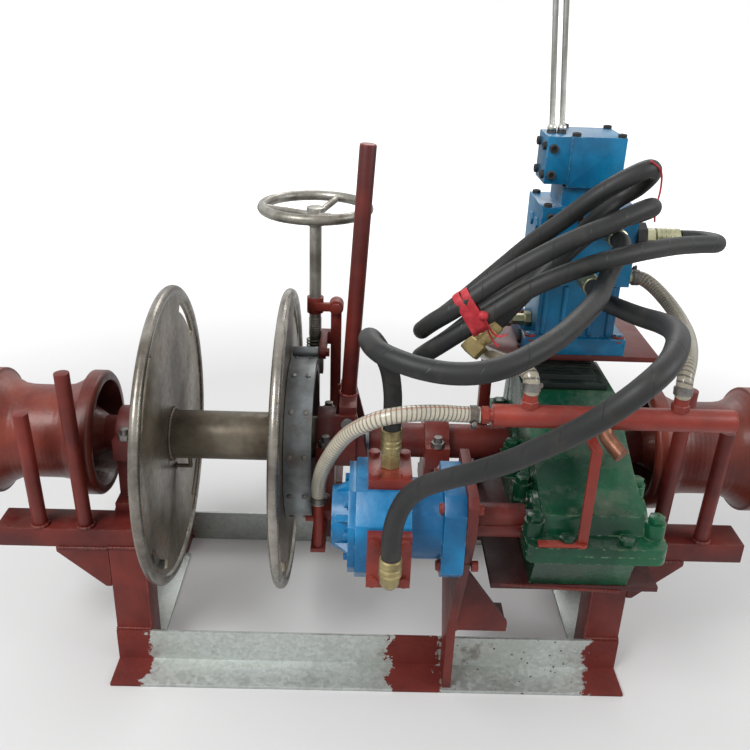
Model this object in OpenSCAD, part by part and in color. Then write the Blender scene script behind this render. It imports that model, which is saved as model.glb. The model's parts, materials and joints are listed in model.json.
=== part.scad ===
// Hydraulic net hauler: a drum with a band brake and two warping heads on one
// shaft, driven by a hydraulic motor through a parallel shaft gearbox.
// Millimetres. +X runs along the shaft, +Y away from the front, +Z up.
// The origin is under the middle of the base, on the ground.

/* [Base frame] */
// Gap between the left rim of the drum and the frame's side
side_room = 16.5; // [12:0.5:24]
// Leg of the galvanised base angles
angle_leg = 56; // [50:1:60]
// Thickness of the base angles
angle_t = 5; // [4:0.5:6]
// Shaft to the inner face of the front base angle
front_setback = 111; // [105:1:116]
// Shaft to the inner face of the rear base angle
rear_setback = 193; // [185:1:210]
// Outer size of the square posts
post_w = 50; // [46:1:52]
// Wall of the square posts
post_wall = 4; // [3:0.5:5]
// Height of the tops of the rails, the arms and the beam
rail_top = 228; // [224:1:232]
// Height of the rail and arm sections
rail_h = 30; // [25:1:36]
// Wall of the rails, the arms and the beam
rail_wall = 3; // [2.5:0.5:4]
// Length of a rope arm outside the frame
arm_l = 152; // [132:1:172]
// Thickness of the gussets under the arms
gusset_t = 8; // [6:1:10]
// Diameter of the rope guide bars
guide_d = 20; // [18:1:20]
// Share of the arm's length at which the outer guide bar stands
guide_outer_share = 0.61; // [0.58:0.01:0.66]
// Share of the arm's length at which the inner guide bar stands
guide_inner_share = 0.2; // [0.16:0.01:0.22]
// Height of the tops of the outer guide bars
guide_outer_top = 400; // [380:1:420]
// Height of the tops of the inner guide bars
guide_inner_top = 460; // [440:1:480]
// Outer size of the square beam under the bearings
beam_w = 60; // [56:1:64]
// Middle of the machine to the left end of the beam
beam_left = 84; // [83:0.5:84.5]

/* [Main shaft] */
// Height of the shaft above the ground
shaft_z = 321; // [318:1:324]
// Diameter of the shaft
shaft_d = 50; // [48:1:52]
// Radial running clearance of a shaft in its bush
run_gap = 0.05; // [0.03:0.01:0.08]
// Wall of the plain bearing bushes
bush_wall = 4; // [3:0.5:5]
// Wall of a bearing housing round its bush
housing_wall = 11; // [9:0.5:13]
// Side of the frame to the middle of the left bearing
left_bearing_in = 20; // [18:1:22]
// Middle of the machine to the middle bearing
middle_bearing_x = 71; // [68:1:72]
// Length of the left and the middle bearing along the shaft
bearing_w = 34; // [30:1:36]

/* [Warping heads] */
// Side of the frame to the inner face of a head
head_stand = 17; // [14:1:22]
// Length of a head along the shaft
head_w = 170; // [166:1:174]
// Diameter of the flanges of a head
head_flange_d = 180; // [172:1:181]
// Diameter of the waist of a head
head_waist_d = 134; // [124:1:142]
// Thickness of a flange at its rim
head_rim_t = 22; // [18:1:26]
// Wall of the hollow head
head_wall = 14; // [11:1:16]
// Diameter of the hub inside a head
head_hub_d = 80; // [74:1:86]

/* [Drum] */
// Width of the drum between the middles of its flanges
drum_w = 168; // [162:1:172]
// Middle of the machine to the middle of the right flange
drum_right = 126; // [124:1:130]
// Outer diameter of the flanges
drum_d = 430; // [400:1:440]
// Diameter of the round bar rolled round a flange
drum_bead_d = 15; // [12:1:16]
// Thickness of a flange plate
drum_plate_t = 5; // [4:0.5:6]
// Outer diameter of the core pipe
core_d = 70; // [68:1:72]
// Wall of the core pipe
core_wall = 6; // [5:0.5:6.5]
// Number of rope slots in a flange
slot_count = 4; // [3:1:5]
// Width of a rope slot
slot_w = 14; // [10:1:16]
// Angle that a rope slot sweeps, in degrees
slot_angle = 32; // [24:1:40]

/* [Brake] */
// Diameter of the brake drum
brake_d = 216; // [206:1:220]
// Width of the brake drum along the shaft
brake_w = 38; // [34:1:39]
// Thickness of the brake lining
lining_t = 4.4; // [3.5:0.1:5]
// Thickness of the brake band
band_t = 3; // [2.5:0.1:4]
// Gap between the lining and the drum with the brake off
brake_gap = 0.6; // [0.4:0.1:0.8]
// Diameter of the brake spindle
spindle_d = 18; // [16:0.5:20]
// Height of the handwheel rim
wheel_z = 629; // [600:1:660]
// Diameter of the handwheel, outside its rim
wheel_d = 167; // [150:1:170]
// Thickness of the round rim of the handwheel
wheel_bar = 15; // [12:0.5:16]
// Height of the middle of the brake nut
nut_z = 481; // [470:1:500]
// Middle of the machine to the middle of the brake post
post_x = 62; // [60:1:64]

/* [Clutch] */
// Diameter of the sliding jaw sleeve
jaw_d = 68; // [64:1:70]
// Depth of the clutch jaws along the shaft
jaw_depth = 7; // [6:0.5:8]
// Gap between the jaws with the clutch out
jaw_gap = 2; // [1.5:0.5:3]
// Diameter of the clutch lever
lever_d = 22; // [19:1:25]
// Length of the clutch lever above its socket
lever_len = 346; // [300:1:380]
// Lean of the clutch lever to the right, in degrees
lever_lean = 3; // [0:0.5:5]

/* [Gearbox] */
// Distance from the input shaft to the main shaft
gear_centres = 200; // [196:1:204]
// Teeth of the input pinion
teeth_1 = 14; // [13:1:15]
// Teeth of the wheel on the intermediate shaft
teeth_2 = 46; // [44:2:48]
// Share of the shaft distance that the first gear pair takes
stage_share = 0.45; // [0.44:0.01:0.46]
// Teeth of the intermediate pinion
teeth_3 = 19; // [19:2:21]
// Teeth of the output wheel
teeth_4 = 36; // [36:2:38]
// Middle of the machine to the middle of the gearbox
gearbox_x = 261; // [260:1:262]
// Width of the gearbox flange along the shaft
gearbox_w = 168; // [166:1:172]
// Width of the gearbox casing between its side faces
casing_w = 124; // [122:1:126]
// Thickness of the two mating flanges together
split_t = 22; // [18:1:26]
// Thickness of the plate under the gearbox
plate_t = 8; // [6:1:10]
// Height of the top of the gearbox casing
casing_top = 430; // [426:1:436]
// Diameter of the input shaft
input_d = 30; // [28:1:30]

/* [Motor] */
// Middle of the machine to the mounting face of the motor
motor_face_x = 107; // [106:1:109]
// Half the height of the motor body
motor_half_h = 62; // [58:1:66]
// Half the depth of the motor body
motor_half_d = 70; // [66:1:73]
// Length of the motor's main body along its shaft
motor_body_l = 66; // [60:1:70]
// Length of the motor's end cover
motor_cover_l = 29; // [25:1:32]
// Diameter of the motor's front ring
motor_ring_d = 100; // [96:1:101]
// Size of the square mounting flange
motor_flange = 118; // [112:1:122]
// Spacing of the motor's mounting bolts
motor_bolt_gap = 82; // [80:1:84]
// Thickness of the motor bracket
bracket_t = 12; // [10:1:14]
// Diameter of the coupling sleeve
coupling_d = 42; // [40:1:46]
// Thickness of the port plates
port_t = 12; // [10:1:14]

/* [Valve] */
// Height of the top of the valve platform
platform_z = 465; // [462:1:475]
// Thickness of the platform
platform_t = 8; // [6:1:10]
// Height of the top of the valve head
valve_top = 757; // [750:1:765]
// Length of a valve lever above the valve head
valve_lever_len = 210; // [180:1:230]
// Diameter of a valve lever
valve_lever_d = 7; // [5:0.5:8]

/* [Water pipes] */
// Diameter of the water manifold
manifold_d = 27; // [25:0.5:30]
// Height of the middle of the manifold
manifold_z = 475; // [472:1:478]
// Outer diameter of the clear water hoses
water_hose_d = 19; // [17:0.5:20]

/* [Hydraulic hoses] */
// Outer diameter of the hydraulic hoses
hose_d = 22; // [20:0.5:22]
// Diameter of a hose ferrule
ferrule_d = 26; // [24:0.5:28]

/* [Hidden] */
$fn = 64;

// Small values shared by all pieces
over = 1;            // overrun of a cut past a face
seat_gap = 0.3;      // gap between pieces that move past each other
bolt_d = 12;         // bolts of the bearings and the gearbox
small_bolt_d = 8;    // bolts of the motor, the ports and the valve
head_share = 1.7;    // bolt head across corners, as a share of the bolt
head_h_share = 0.65; // bolt head height, as a share of the bolt

// Front and rear reach of the machine from its shaft set the origin
elbow_reach = 40;
elbow_r = ferrule_d/2;
front_reach = gear_centres + motor_half_d + port_t + elbow_reach + elbow_r;
rear_reach = rear_setback + angle_leg;
shaft_y = (front_reach - rear_reach)/2;
frame_front = shaft_y - front_setback;
frame_rear = shaft_y + rear_setback;
drum_left = drum_right + drum_w;
half_w = drum_left + drum_bead_d/2 + side_room + post_w;
base_w = 2*half_w;
arm_reach = half_w + arm_l;
left_bearing_x = half_w - left_bearing_in;
head_outer = half_w + head_stand + head_w;
rail_z = rail_top - rail_h;
drive_y = shaft_y - gear_centres;

// A cylinder along X from x0, centred on the line at y, z
module rod_x(x0, len, r, y = shaft_y, z = shaft_z) {
    translate([x0, y, z]) rotate([0, 90, 0]) cylinder(h = len, r = r);
}
// A ring along X
module ring_x(x0, len, r_out, r_in, y = shaft_y, z = shaft_z) {
    difference() {
        rod_x(x0, len, r_out, y, z);
        rod_x(x0 - over, len + 2*over, r_in, y, z);
    }
}
// A turned piece about the main shaft, from points of [distance along X, radius]
module turned_x(points, y = shaft_y, z = shaft_z) {
    translate([0, y, z]) rotate([0, 90, 0]) rotate_extrude()
        polygon([for (p = points) [p[1], p[0]]]);
}
// A square tube from corner to corner, hollow along X or along Y
module tube_x(x0, y0, z0, len, w, h, wall) {
    translate([x0, y0, z0]) difference() {
        cube([len, w, h]);
        translate([-over, wall, wall]) cube([len + 2*over, w - 2*wall, h - 2*wall]);
    }
}
module tube_y(x0, y0, z0, len, w, h, wall) {
    translate([x0, y0, z0]) difference() {
        cube([w, len, h]);
        translate([wall, -over, wall]) cube([w - 2*wall, len + 2*over, h - 2*wall]);
    }
}
// A hexagon bolt head, its seat at z = 0
module hex_head(d) {
    cylinder(h = d*head_h_share, r = d*head_share/2, $fn = 6);
}
module both_sides() {
    children();
    mirror([1, 0, 0]) children();
}

module angle_bar() {
    translate([-half_w, -angle_leg, 0]) cube([base_w, angle_leg, angle_t]);
    translate([-half_w, -angle_t, 0]) cube([base_w, angle_t, angle_leg]);
}
module base_angles() {
    color("#a5afaa") {
        translate([0, frame_front, 0]) angle_bar();
        translate([0, frame_rear, 0]) mirror([0, 1, 0]) angle_bar();
    }
}
module base_cross_angles() {
    len = front_setback + rear_setback - 2*post_w;
    color("#a5afaa") both_sides() translate([half_w, frame_front + post_w, 0]) {
        translate([-angle_leg, 0, 0]) cube([angle_leg, len, angle_t]);
        translate([-angle_t, 0, 0]) cube([angle_t, len, angle_leg]);
    }
}
module corner_posts() {
    color("#6e2a26") both_sides() for (y = [frame_front, frame_rear - post_w])
        translate([half_w - post_w, y, 0]) difference() {
            cube([post_w, post_w, rail_z]);
            translate([post_wall, post_wall, -over])
                cube([post_w - 2*post_wall, post_w - 2*post_wall, rail_z + 2*over]);
        }
}
module rope_arms() {
    inner = half_w - post_w;
    color("#6e2a26") both_sides() {
        tube_x(inner, frame_front, rail_z, arm_reach - inner, post_w, rail_h, rail_wall);
        translate([arm_reach - rail_wall, frame_front + rail_wall/2, rail_z + rail_wall/2])
            cube([rail_wall, post_w - rail_wall, rail_h - rail_wall]);
    }
}
module side_rails() {
    len = front_setback + rear_setback - post_w;
    color("#6e2a26") both_sides()
        tube_y(half_w - post_w, frame_front + post_w, rail_z, len, post_w, rail_h, rail_wall);
}
gusset_share = 0.474;
gusset_w = arm_l*gusset_share;
gusset_h = 66;
gusset_nose = 8;
module arm_gussets() {
    color("#6e2a26") both_sides() translate([half_w, frame_front + gusset_t, rail_z])
        rotate([90, 0, 0]) linear_extrude(gusset_t) polygon([[0, 0], [gusset_w, 0],
            [gusset_w, -gusset_nose], [gusset_nose, -gusset_h], [0, -gusset_h]]);
}
guide_edge = 1;       // guide bar to the front edge of the arm
guide_sink = 3.5;     // depth of the cut that squares a bar's foot
guide_y = frame_front + guide_d/2 + guide_edge;
guide_lean = 1.5;    // lean of the guide bars away from the middle, in degrees
module guide_bar(x, top) {
    translate([x, guide_y, rail_top]) difference() {
        rotate([0, guide_lean, 0]) translate([0, 0, -guide_sink])
            cylinder(h = top - rail_top + guide_sink, d = guide_d);
        translate([-guide_d, -guide_d, -2*guide_sink]) cube([2*guide_d, 2*guide_d, 2*guide_sink]);
    }
}
module guide_bars() {
    color("#7a2f28") both_sides() {
        guide_bar(half_w + arm_l*guide_outer_share, guide_outer_top);
        guide_bar(half_w + arm_l*guide_inner_share, guide_inner_top);
    }
}
module shaft_beam() {
    color("#5e2622") tube_x(-beam_left, shaft_y - beam_w/2, rail_top - beam_w,
        beam_left + half_w - post_w, beam_w, beam_w, rail_wall);
}

// Gearbox plate, with its front edge in front of the casing
plate_front = 217;
plate_rear = 150;
plate_left = 150;
module gearbox_plate() {
    color("#7a2f28") translate([plate_left, shaft_y - plate_front, rail_top])
        cube([half_w - post_wall - plate_left, plate_front + plate_rear, plate_t]);
}

// Motor bracket: an upright plate with a gusset and a foot plate
bracket_top = 385;
bracket_round = 10;
bracket_fore = 61;   // motor shaft to the front edge of the bracket
bracket_aft = 64;    // motor shaft to the rear edge at its top
bracket_knee = 330;  // height where the front edge starts to slope
bracket_heel = 119;  // height where the slope ends
spigot_d = 80;
stay_l = 70;
stay_h = 96;
module motor_bracket() {
    fore = drive_y - bracket_fore;
    aft = drive_y + bracket_aft;
    toe = frame_front - angle_leg;
    beam_face = shaft_y - beam_w/2;
    color("#8a3428") {
        difference() {
            translate([motor_face_x, 0, 0]) rotate([90, 0, 90]) linear_extrude(bracket_t)
                polygon([[toe + angle_t, angle_t], [frame_front - angle_t, angle_t],
                    [frame_front - angle_t, angle_leg], [frame_front, angle_leg],
                    [beam_face, rail_top - beam_w], [beam_face, rail_top],
                    [aft, bracket_knee], [aft, bracket_top],
                    [fore + bracket_round, bracket_top], [fore, bracket_top - bracket_round],
                    [fore, bracket_knee], [toe + angle_t, bracket_heel]]);
            rod_x(motor_face_x - over, bracket_t + 2*over, spigot_d/2, drive_y);
            motor_bolt_places() rod_x(motor_face_x - over, bracket_t + 2*over,
                small_bolt_d/2 + seat_gap, 0, 0);
        }
        translate([motor_face_x + bracket_t, toe + angle_t + bracket_t/2, bracket_heel])
            rotate([90, 0, 0]) linear_extrude(gusset_t)
                polygon([[0, 0], [stay_l, 0], [stay_l, gusset_nose], [gusset_nose, stay_h], [0, stay_h]]);
        translate([motor_face_x + bracket_t, toe + angle_t, bracket_heel - gusset_t])
            cube([stay_l, angle_leg - angle_t, gusset_t]);
    }
}
module motor_bolt_places() {
    for (y = [-1, 1], z = [-1, 1])
        translate([0, drive_y + y*motor_bolt_gap/2, shaft_z + z*motor_bolt_gap/2]) children();
}

// Plain bearings of the main shaft, and the larger one that carries the drum hub
hub_d = 62;
pedestal_x = -82;
pedestal_w = 26;
bearings = [[-left_bearing_x - bearing_w/2, bearing_w, shaft_d],
    [middle_bearing_x, bearing_w, shaft_d],
    [pedestal_x, pedestal_w, hub_d]];
wrench_gap = 2;
bolt_side = bolt_d + wrench_gap;
cap_h_share = 0.8;
foot_h = 16;
function bush_r(b) = b[2]/2 + run_gap + bush_wall;
function housing_r(b) = bush_r(b) + housing_wall;
ear_reach = 14;
ear_t = 6;
pivot_x = -39;
pivot_rise = 51;
pin_d = 12;
shoe_len = 4;
fork_half = jaw_d/2 + shoe_len;
fork_t = 8;
module bearing_housing(b) {
    r = housing_r(b);
    wide = r + 2*bolt_side;
    difference() {
        translate([b[0], shaft_y, 0]) {
            translate([0, -wide, rail_top]) cube([b[1], 2*wide, foot_h]);
            translate([0, -r, rail_top]) cube([b[1], 2*r, shaft_z - rail_top]);
            translate([0, -r - bolt_side, shaft_z - foot_h]) cube([b[1], 2*(r + bolt_side), 2*foot_h]);
            translate([0, 0, shaft_z]) rotate([0, 90, 0]) cylinder(h = b[1], r = r);
        }
        rod_x(b[0] - over, b[1] + 2*over, bush_r(b));
    }
}
module bearing_housings() {
    color("#6a2a2c") {
        for (b = bearings) bearing_housing(b);
        // ears of the clutch pivot on the drum bearing
        ear_x = pedestal_x + pedestal_w;
        for (s = [-1, 1]) difference() {
            translate([ear_x, shaft_y + s*(fork_half + fork_t + seat_gap + ear_t/2) - ear_t/2,
                shaft_z - foot_h]) cube([pivot_x - ear_x + pin_d, ear_t, pivot_rise + foot_h + pin_d]);
            translate([pivot_x, shaft_y, shaft_z + pivot_rise]) rotate([90, 0, 0])
                cylinder(h = 4*fork_half, d = pin_d, center = true);
        }
    }
}
module bearing_bushes() {
    color("#b58a45") for (b = bearings)
        ring_x(b[0], b[1], bush_r(b), b[2]/2 + run_gap);
}
module bearing_bolts() {
    color("#9a9a96") for (b = bearings, s = [-1, 1])
        translate([b[0] + b[1]/2, shaft_y + s*(housing_r(b) + bolt_side/2), shaft_z + foot_h]) {
            hex_head(bolt_d);
            cylinder(h = bolt_d*cap_h_share + bolt_d/2, d = bolt_d);
        }
}

// Main shaft with a collar on each side of the drum
collar_w = 10;
collar_wall = 10;
collar_r = shaft_d/2 + collar_wall;
drum_left_face = -drum_left - drum_plate_t/2 - drum_bead_d/2;
hub_proud = 3;
drum_hub_end = pedestal_x + pedestal_w + jaw_depth + hub_proud;
cap_r = 34;
cap_t = 8;
shaft_half = head_outer - cap_t - bolt_d*head_h_share;
key_w = 8;
module main_shaft() {
    color("#8a2f34") difference() {
        rod_x(-shaft_half, 2*shaft_half, shaft_d/2);
        translate([sleeve_x - jaw_gap, shaft_y - key_w/2, shaft_z + shaft_d/2 - key_w/2])
            cube([sleeve_w + 2*jaw_gap, key_w, key_w]);
    }
}
module shaft_collars() {
    color("#9aa0a4") {
        ring_x(-drum_left - drum_plate_t/2 - seat_gap - collar_w, collar_w, collar_r, shaft_d/2);
        both_sides() {
            rod_x(shaft_half, cap_t, cap_r);
            translate([shaft_half + cap_t, shaft_y, shaft_z]) rotate([0, 90, 0]) hex_head(bolt_d);
        }
    }
}

// A warping head: flanged, waisted, hollow from its inner end
waist_steps = 10;
waist_curve_share = 4.5;
head_floor = 18;
function waist_r(t) = head_waist_d/2
    + (head_flange_d - head_waist_d)/2*pow(abs(2*t - 1), waist_curve_share);
module warping_head() {
    in_x = head_outer - head_w;
    rim = head_flange_d/2;
    barrel = head_w - 2*head_rim_t;
    mouth = rim - head_wall;
    inner = head_waist_d/2 - head_wall;
    floor_x = head_outer - head_floor;
    difference() {
        turned_x(concat(
            [[in_x, shaft_d/2], [in_x + head_rim_t, head_hub_d/2], [floor_x, head_hub_d/2],
                [floor_x, inner], [in_x + head_w/2, inner], [in_x, mouth]],
            [[in_x, rim - gusset_nose/2], [in_x + gusset_nose/2, rim], [in_x + head_rim_t, rim]],
            [for (i = [0:waist_steps]) [in_x + head_rim_t + barrel*i/waist_steps,
                waist_r(i/waist_steps) - (i == 0 || i == waist_steps ? gusset_nose/2 : 0)]],
            [[head_outer - head_rim_t, rim], [head_outer - gusset_nose/2, rim],
                [head_outer, rim - gusset_nose/2], [head_outer, cap_r + wrench_gap],
                [shaft_half, cap_r + wrench_gap], [shaft_half, shaft_d/2]]));
    }
}
module warping_head_right() {
    color("#6a2420") warping_head();
}
module warping_head_left() {
    color("#6a2420") mirror([1, 0, 0]) warping_head();
}

// The drum: core pipe with a hub that runs through the drum bearing
function core_bore() = core_d/2 - core_wall;
hub_start = -drum_right + drum_plate_t/2;
jaw_room = 50;       // angle of the gap between two jaws, in degrees
module jaw_gaps(x0, r, turn) {
    translate([x0, shaft_y, shaft_z]) rotate([0, 90, 0]) for (i = [0:3])
        rotate([0, 0, i*90 + turn]) linear_extrude(jaw_depth + over) polygon([[0, 0],
            [2*r*cos(jaw_room/2), -2*r*sin(jaw_room/2)], [2*r*cos(jaw_room/2), 2*r*sin(jaw_room/2)]]);
}
module drum_core() {
    left = -drum_left - drum_plate_t/2;
    color("#7d7a73") {
        ring_x(left, -drum_right - drum_plate_t/2 - left, core_d/2, core_bore());
        difference() {
            ring_x(hub_start - drum_plate_t, drum_hub_end - hub_start + drum_plate_t,
                hub_d/2, core_bore());
            jaw_gaps(drum_hub_end - jaw_depth, hub_d/2, 45);
        }
    }
}
module drum_flange(x, bore_r) {
    rim = drum_d/2 - drum_bead_d/2;
    slot_r = rim - drum_bead_d/2 - slot_w;
    difference() {
        ring_x(x - drum_plate_t/2, drum_plate_t, rim, bore_r);
        translate([x, shaft_y, shaft_z]) rotate([0, 90, 0]) for (i = [0:slot_count - 1])
            rotate([0, 0, i*360/slot_count + 45 - slot_angle/2]) rotate_extrude(angle = slot_angle)
                translate([slot_r - slot_w/2, -drum_plate_t]) square([slot_w, 2*drum_plate_t]);
    }
    translate([x, shaft_y, shaft_z]) rotate([0, 90, 0]) rotate_extrude($fn = 64)
        translate([rim, 0]) circle(d = drum_bead_d, $fn = 24);
}
module drum_flange_left() {
    color("#77736b") {
        drum_flange(-drum_left, core_d/2);
        rope_hook();
    }
}
module drum_flange_right() {
    color("#77736b") drum_flange(-drum_right, core_d/2);
}
module drum_bushes() {
    w = bearing_w;
    color("#b58a45") {
        ring_x(-drum_left - drum_plate_t/2, w, core_bore(), shaft_d/2 + run_gap);
        ring_x(drum_hub_end - jaw_depth - w, w, core_bore(), shaft_d/2 + run_gap);
    }
}
hook_d = 6;
hook_drop = 18;
hook_reach = 24;
module rope_hook() {
    x = -drum_left;
    z = shaft_z - core_d/2 - hook_drop;
    union() {
        translate([x, shaft_y, z]) rotate([0, 90, 0]) cylinder(h = hook_reach, d = hook_d);
        translate([x + hook_reach, shaft_y, z]) sphere(d = hook_d);
        translate([x + hook_reach, shaft_y, z]) cylinder(h = hook_drop, d = hook_d);
    }
}
brake_web = 6;
brake_rim = 9;
module brake_drum() {
    color("#6f6f6d") {
        ring_x(hub_start, brake_web, brake_d/2, hub_d/2);
        ring_x(hub_start, brake_w, brake_d/2, brake_d/2 - brake_rim);
    }
}

// The brake band wraps the drum from the rear, under it, over the front to the rear again
lining_r = brake_d/2 + brake_gap;
band_r = lining_r + lining_t;
band_out = band_r + band_t;
side_gap = 1;
band_x = hub_start + side_gap;
band_w = brake_w - side_gap;
strap_top = 396;
strap_lap = 6;      // how far the upright end is let into the band
strap_in = 0.5;     // how far its faces stand in from the band's
lug_t = 8;
module band_sector(r_in, r_out, from, to) {
    translate([band_x, shaft_y, shaft_z]) rotate([0, 90, 0])
        rotate([0, 0, from]) rotate_extrude(angle = to - from, $fn = 96)
            translate([r_in, 0]) square([r_out - r_in, band_w]);
}
anchor_a = 60;      // angle of the fixed end above the rear, in degrees
wrap_start = 270;   // straight behind the shaft, counted from the other side
eye_rise = 12;
band_eye_r = 8;
module brake_band() {
    color("#969ea0") {
        band_sector(band_r, band_out, anchor_a - wrap_start, 90);
        // upright end of the band, pulled by the spindle
        translate([band_x + strap_in, shaft_y + band_r + strap_in, shaft_z - strap_lap])
            cube([band_w - 2*strap_in, band_t - 2*strap_in, strap_top - shaft_z + strap_lap]);
        // lug at the fixed end
        translate([band_x + band_w/2, shaft_y, shaft_z]) rotate([anchor_a, 0, 0])
            difference() {
                union() {
                    translate([-band_w/2 + strap_in, band_r + strap_in, strap_in])
                        cube([band_w - 2*strap_in, eye_rise, band_t]);
                    translate([-band_w/2, band_r + eye_rise, 0]) rotate([0, 90, 0])
                        cylinder(h = band_w, r = band_eye_r);
                }
                translate([-band_w/2 - over, band_r + eye_rise, 0]) rotate([0, 90, 0])
                    cylinder(h = band_w + 2*over, d = small_bolt_d + 2*seat_gap);
            }
    }
}
module brake_lining() {
    color("#5b4a3a") band_sector(lining_r, band_r, anchor_a - wrap_start, 90);
}

// The brake post carries the nut of the brake spindle and the band's fixed end
spindle_y = shaft_y + band_out + spindle_d/2 + side_gap;
spindle_x = -94;
post_w2 = 16;
post_t = 14;
anchor_t = 10;
anchor_h = 20;
post_foot_y = shaft_y + beam_w/2;
eye_r = 11;
nut_pin_d = 10;
nut_r = 12.5;
nut_h = 24;
module brake_post() {
    color("#5e2424") {
        translate([-post_x - post_w2/2, spindle_y - post_t/2, rail_top])
            cube([post_w2, post_t, nut_z - eye_r - rail_top]);
        tube_y(-post_x - beam_w/4, post_foot_y, rail_top - rail_h,
            spindle_y - post_foot_y + post_t/2, beam_w/2, rail_h, rail_wall);
        translate([-post_x, spindle_y + post_t/2, nut_z]) rotate([90, 0, 0]) difference() {
            union() {
                cylinder(h = post_t, r = eye_r);
                translate([-post_w2/2, -eye_r - over, 0]) cube([post_w2, eye_r + over, post_t]);
            }
            translate([0, 0, -over]) cylinder(h = post_t + 2*over, d = nut_pin_d);
        }
        // arm and bolt that hold the fixed end of the band
        arm_x = band_x + band_w + over;
        eye_y = shaft_y + (band_r + eye_rise)*cos(anchor_a);
        eye_z = shaft_z + (band_r + eye_rise)*sin(anchor_a);
        translate([arm_x, eye_y, eye_z]) rotate([0, 90, 0]) cylinder(h = anchor_t, r = anchor_h/2);
        translate([arm_x, eye_y, eye_z - anchor_h/2])
            cube([anchor_t, spindle_y + post_t/2 - eye_y, anchor_h]);
        translate([arm_x, spindle_y - post_t/2, eye_z - anchor_h/2])
            cube([-post_x - arm_x, post_t, anchor_h]);
        rod_x(band_x, band_w + over + anchor_t/2, small_bolt_d/2, eye_y, eye_z);
        translate([arm_x + anchor_t, eye_y, eye_z]) rotate([0, 90, 0]) hex_head(small_bolt_d);
    }
}
module brake_nut_arm() {
    y = spindle_y - post_t/2;
    color("#7a2a28") {
        difference() {
            union() {
                translate([spindle_x, spindle_y, nut_z - nut_h/2]) cylinder(h = nut_h, r = nut_r);
                translate([spindle_x, y - fork_t, nut_z - nut_h/4])
                    cube([-post_x - spindle_x, fork_t, nut_h/2]);
                translate([-post_x, y, nut_z]) rotate([90, 0, 0]) cylinder(h = fork_t, r = eye_r);
            }
            translate([spindle_x, spindle_y, nut_z - nut_h/2 - over])
                cylinder(h = nut_h + 2*over, r = spindle_d/2 + run_gap);
        }
        translate([-post_x, y - fork_t, nut_z]) rotate([90, 0, 0]) hex_head(nut_pin_d);
        translate([-post_x, y, nut_z]) rotate([-90, 0, 0]) cylinder(h = post_t, d = nut_pin_d);
    }
}
swivel_h = 26;
swivel_w = 26;
swivel_back = 2;
collar_rise = 8;
collar_wall_2 = 3;
socket_depth = 18;
spindle_foot = strap_top - socket_depth;
module brake_swivel() {
    color("#8b8b86") difference() {
        union() {
            translate([spindle_x - swivel_w/2, shaft_y + band_out + seat_gap, strap_top - swivel_h])
                cube([swivel_w, spindle_d + swivel_back, swivel_h]);
            translate([spindle_x, spindle_y, strap_top])
                cylinder(h = collar_rise, r = spindle_d/2 + collar_wall_2);
        }
        translate([spindle_x, spindle_y, spindle_foot])
            cylinder(h = socket_depth + collar_rise + over, r = spindle_d/2 + run_gap);
    }
}
wheel_hub_drop = 12;
spoke_d = 10;
hub_r = 13;
hub_h = 24;
spoke_angles = [66, 186, 306];
module brake_spindle() {
    color("#8f8b82") translate([spindle_x, spindle_y, spindle_foot])
        cylinder(h = wheel_z - wheel_hub_drop - spindle_foot, r = spindle_d/2);
}
module handwheel() {
    rim_r = wheel_d/2 - wheel_bar/2;
    tilt = atan2(wheel_hub_drop, rim_r);
    color("#96948a") translate([spindle_x, spindle_y, wheel_z]) difference() {
        union() {
            rotate_extrude() translate([rim_r, 0]) circle(d = wheel_bar, $fn = 24);
            for (a = spoke_angles) rotate([0, 0, a]) translate([0, 0, -wheel_hub_drop])
                rotate([0, 90 - tilt, 0]) translate([0, 0, hub_r/2])
                    cylinder(h = (rim_r - wheel_bar/4)/cos(tilt) - hub_r/2, d = spoke_d);
            translate([0, 0, -wheel_hub_drop - hub_h/2]) cylinder(h = hub_h, r = hub_r);
        }
        translate([0, 0, -wheel_hub_drop - hub_h]) cylinder(h = hub_h, r = spindle_d/2);
    }
}

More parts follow.
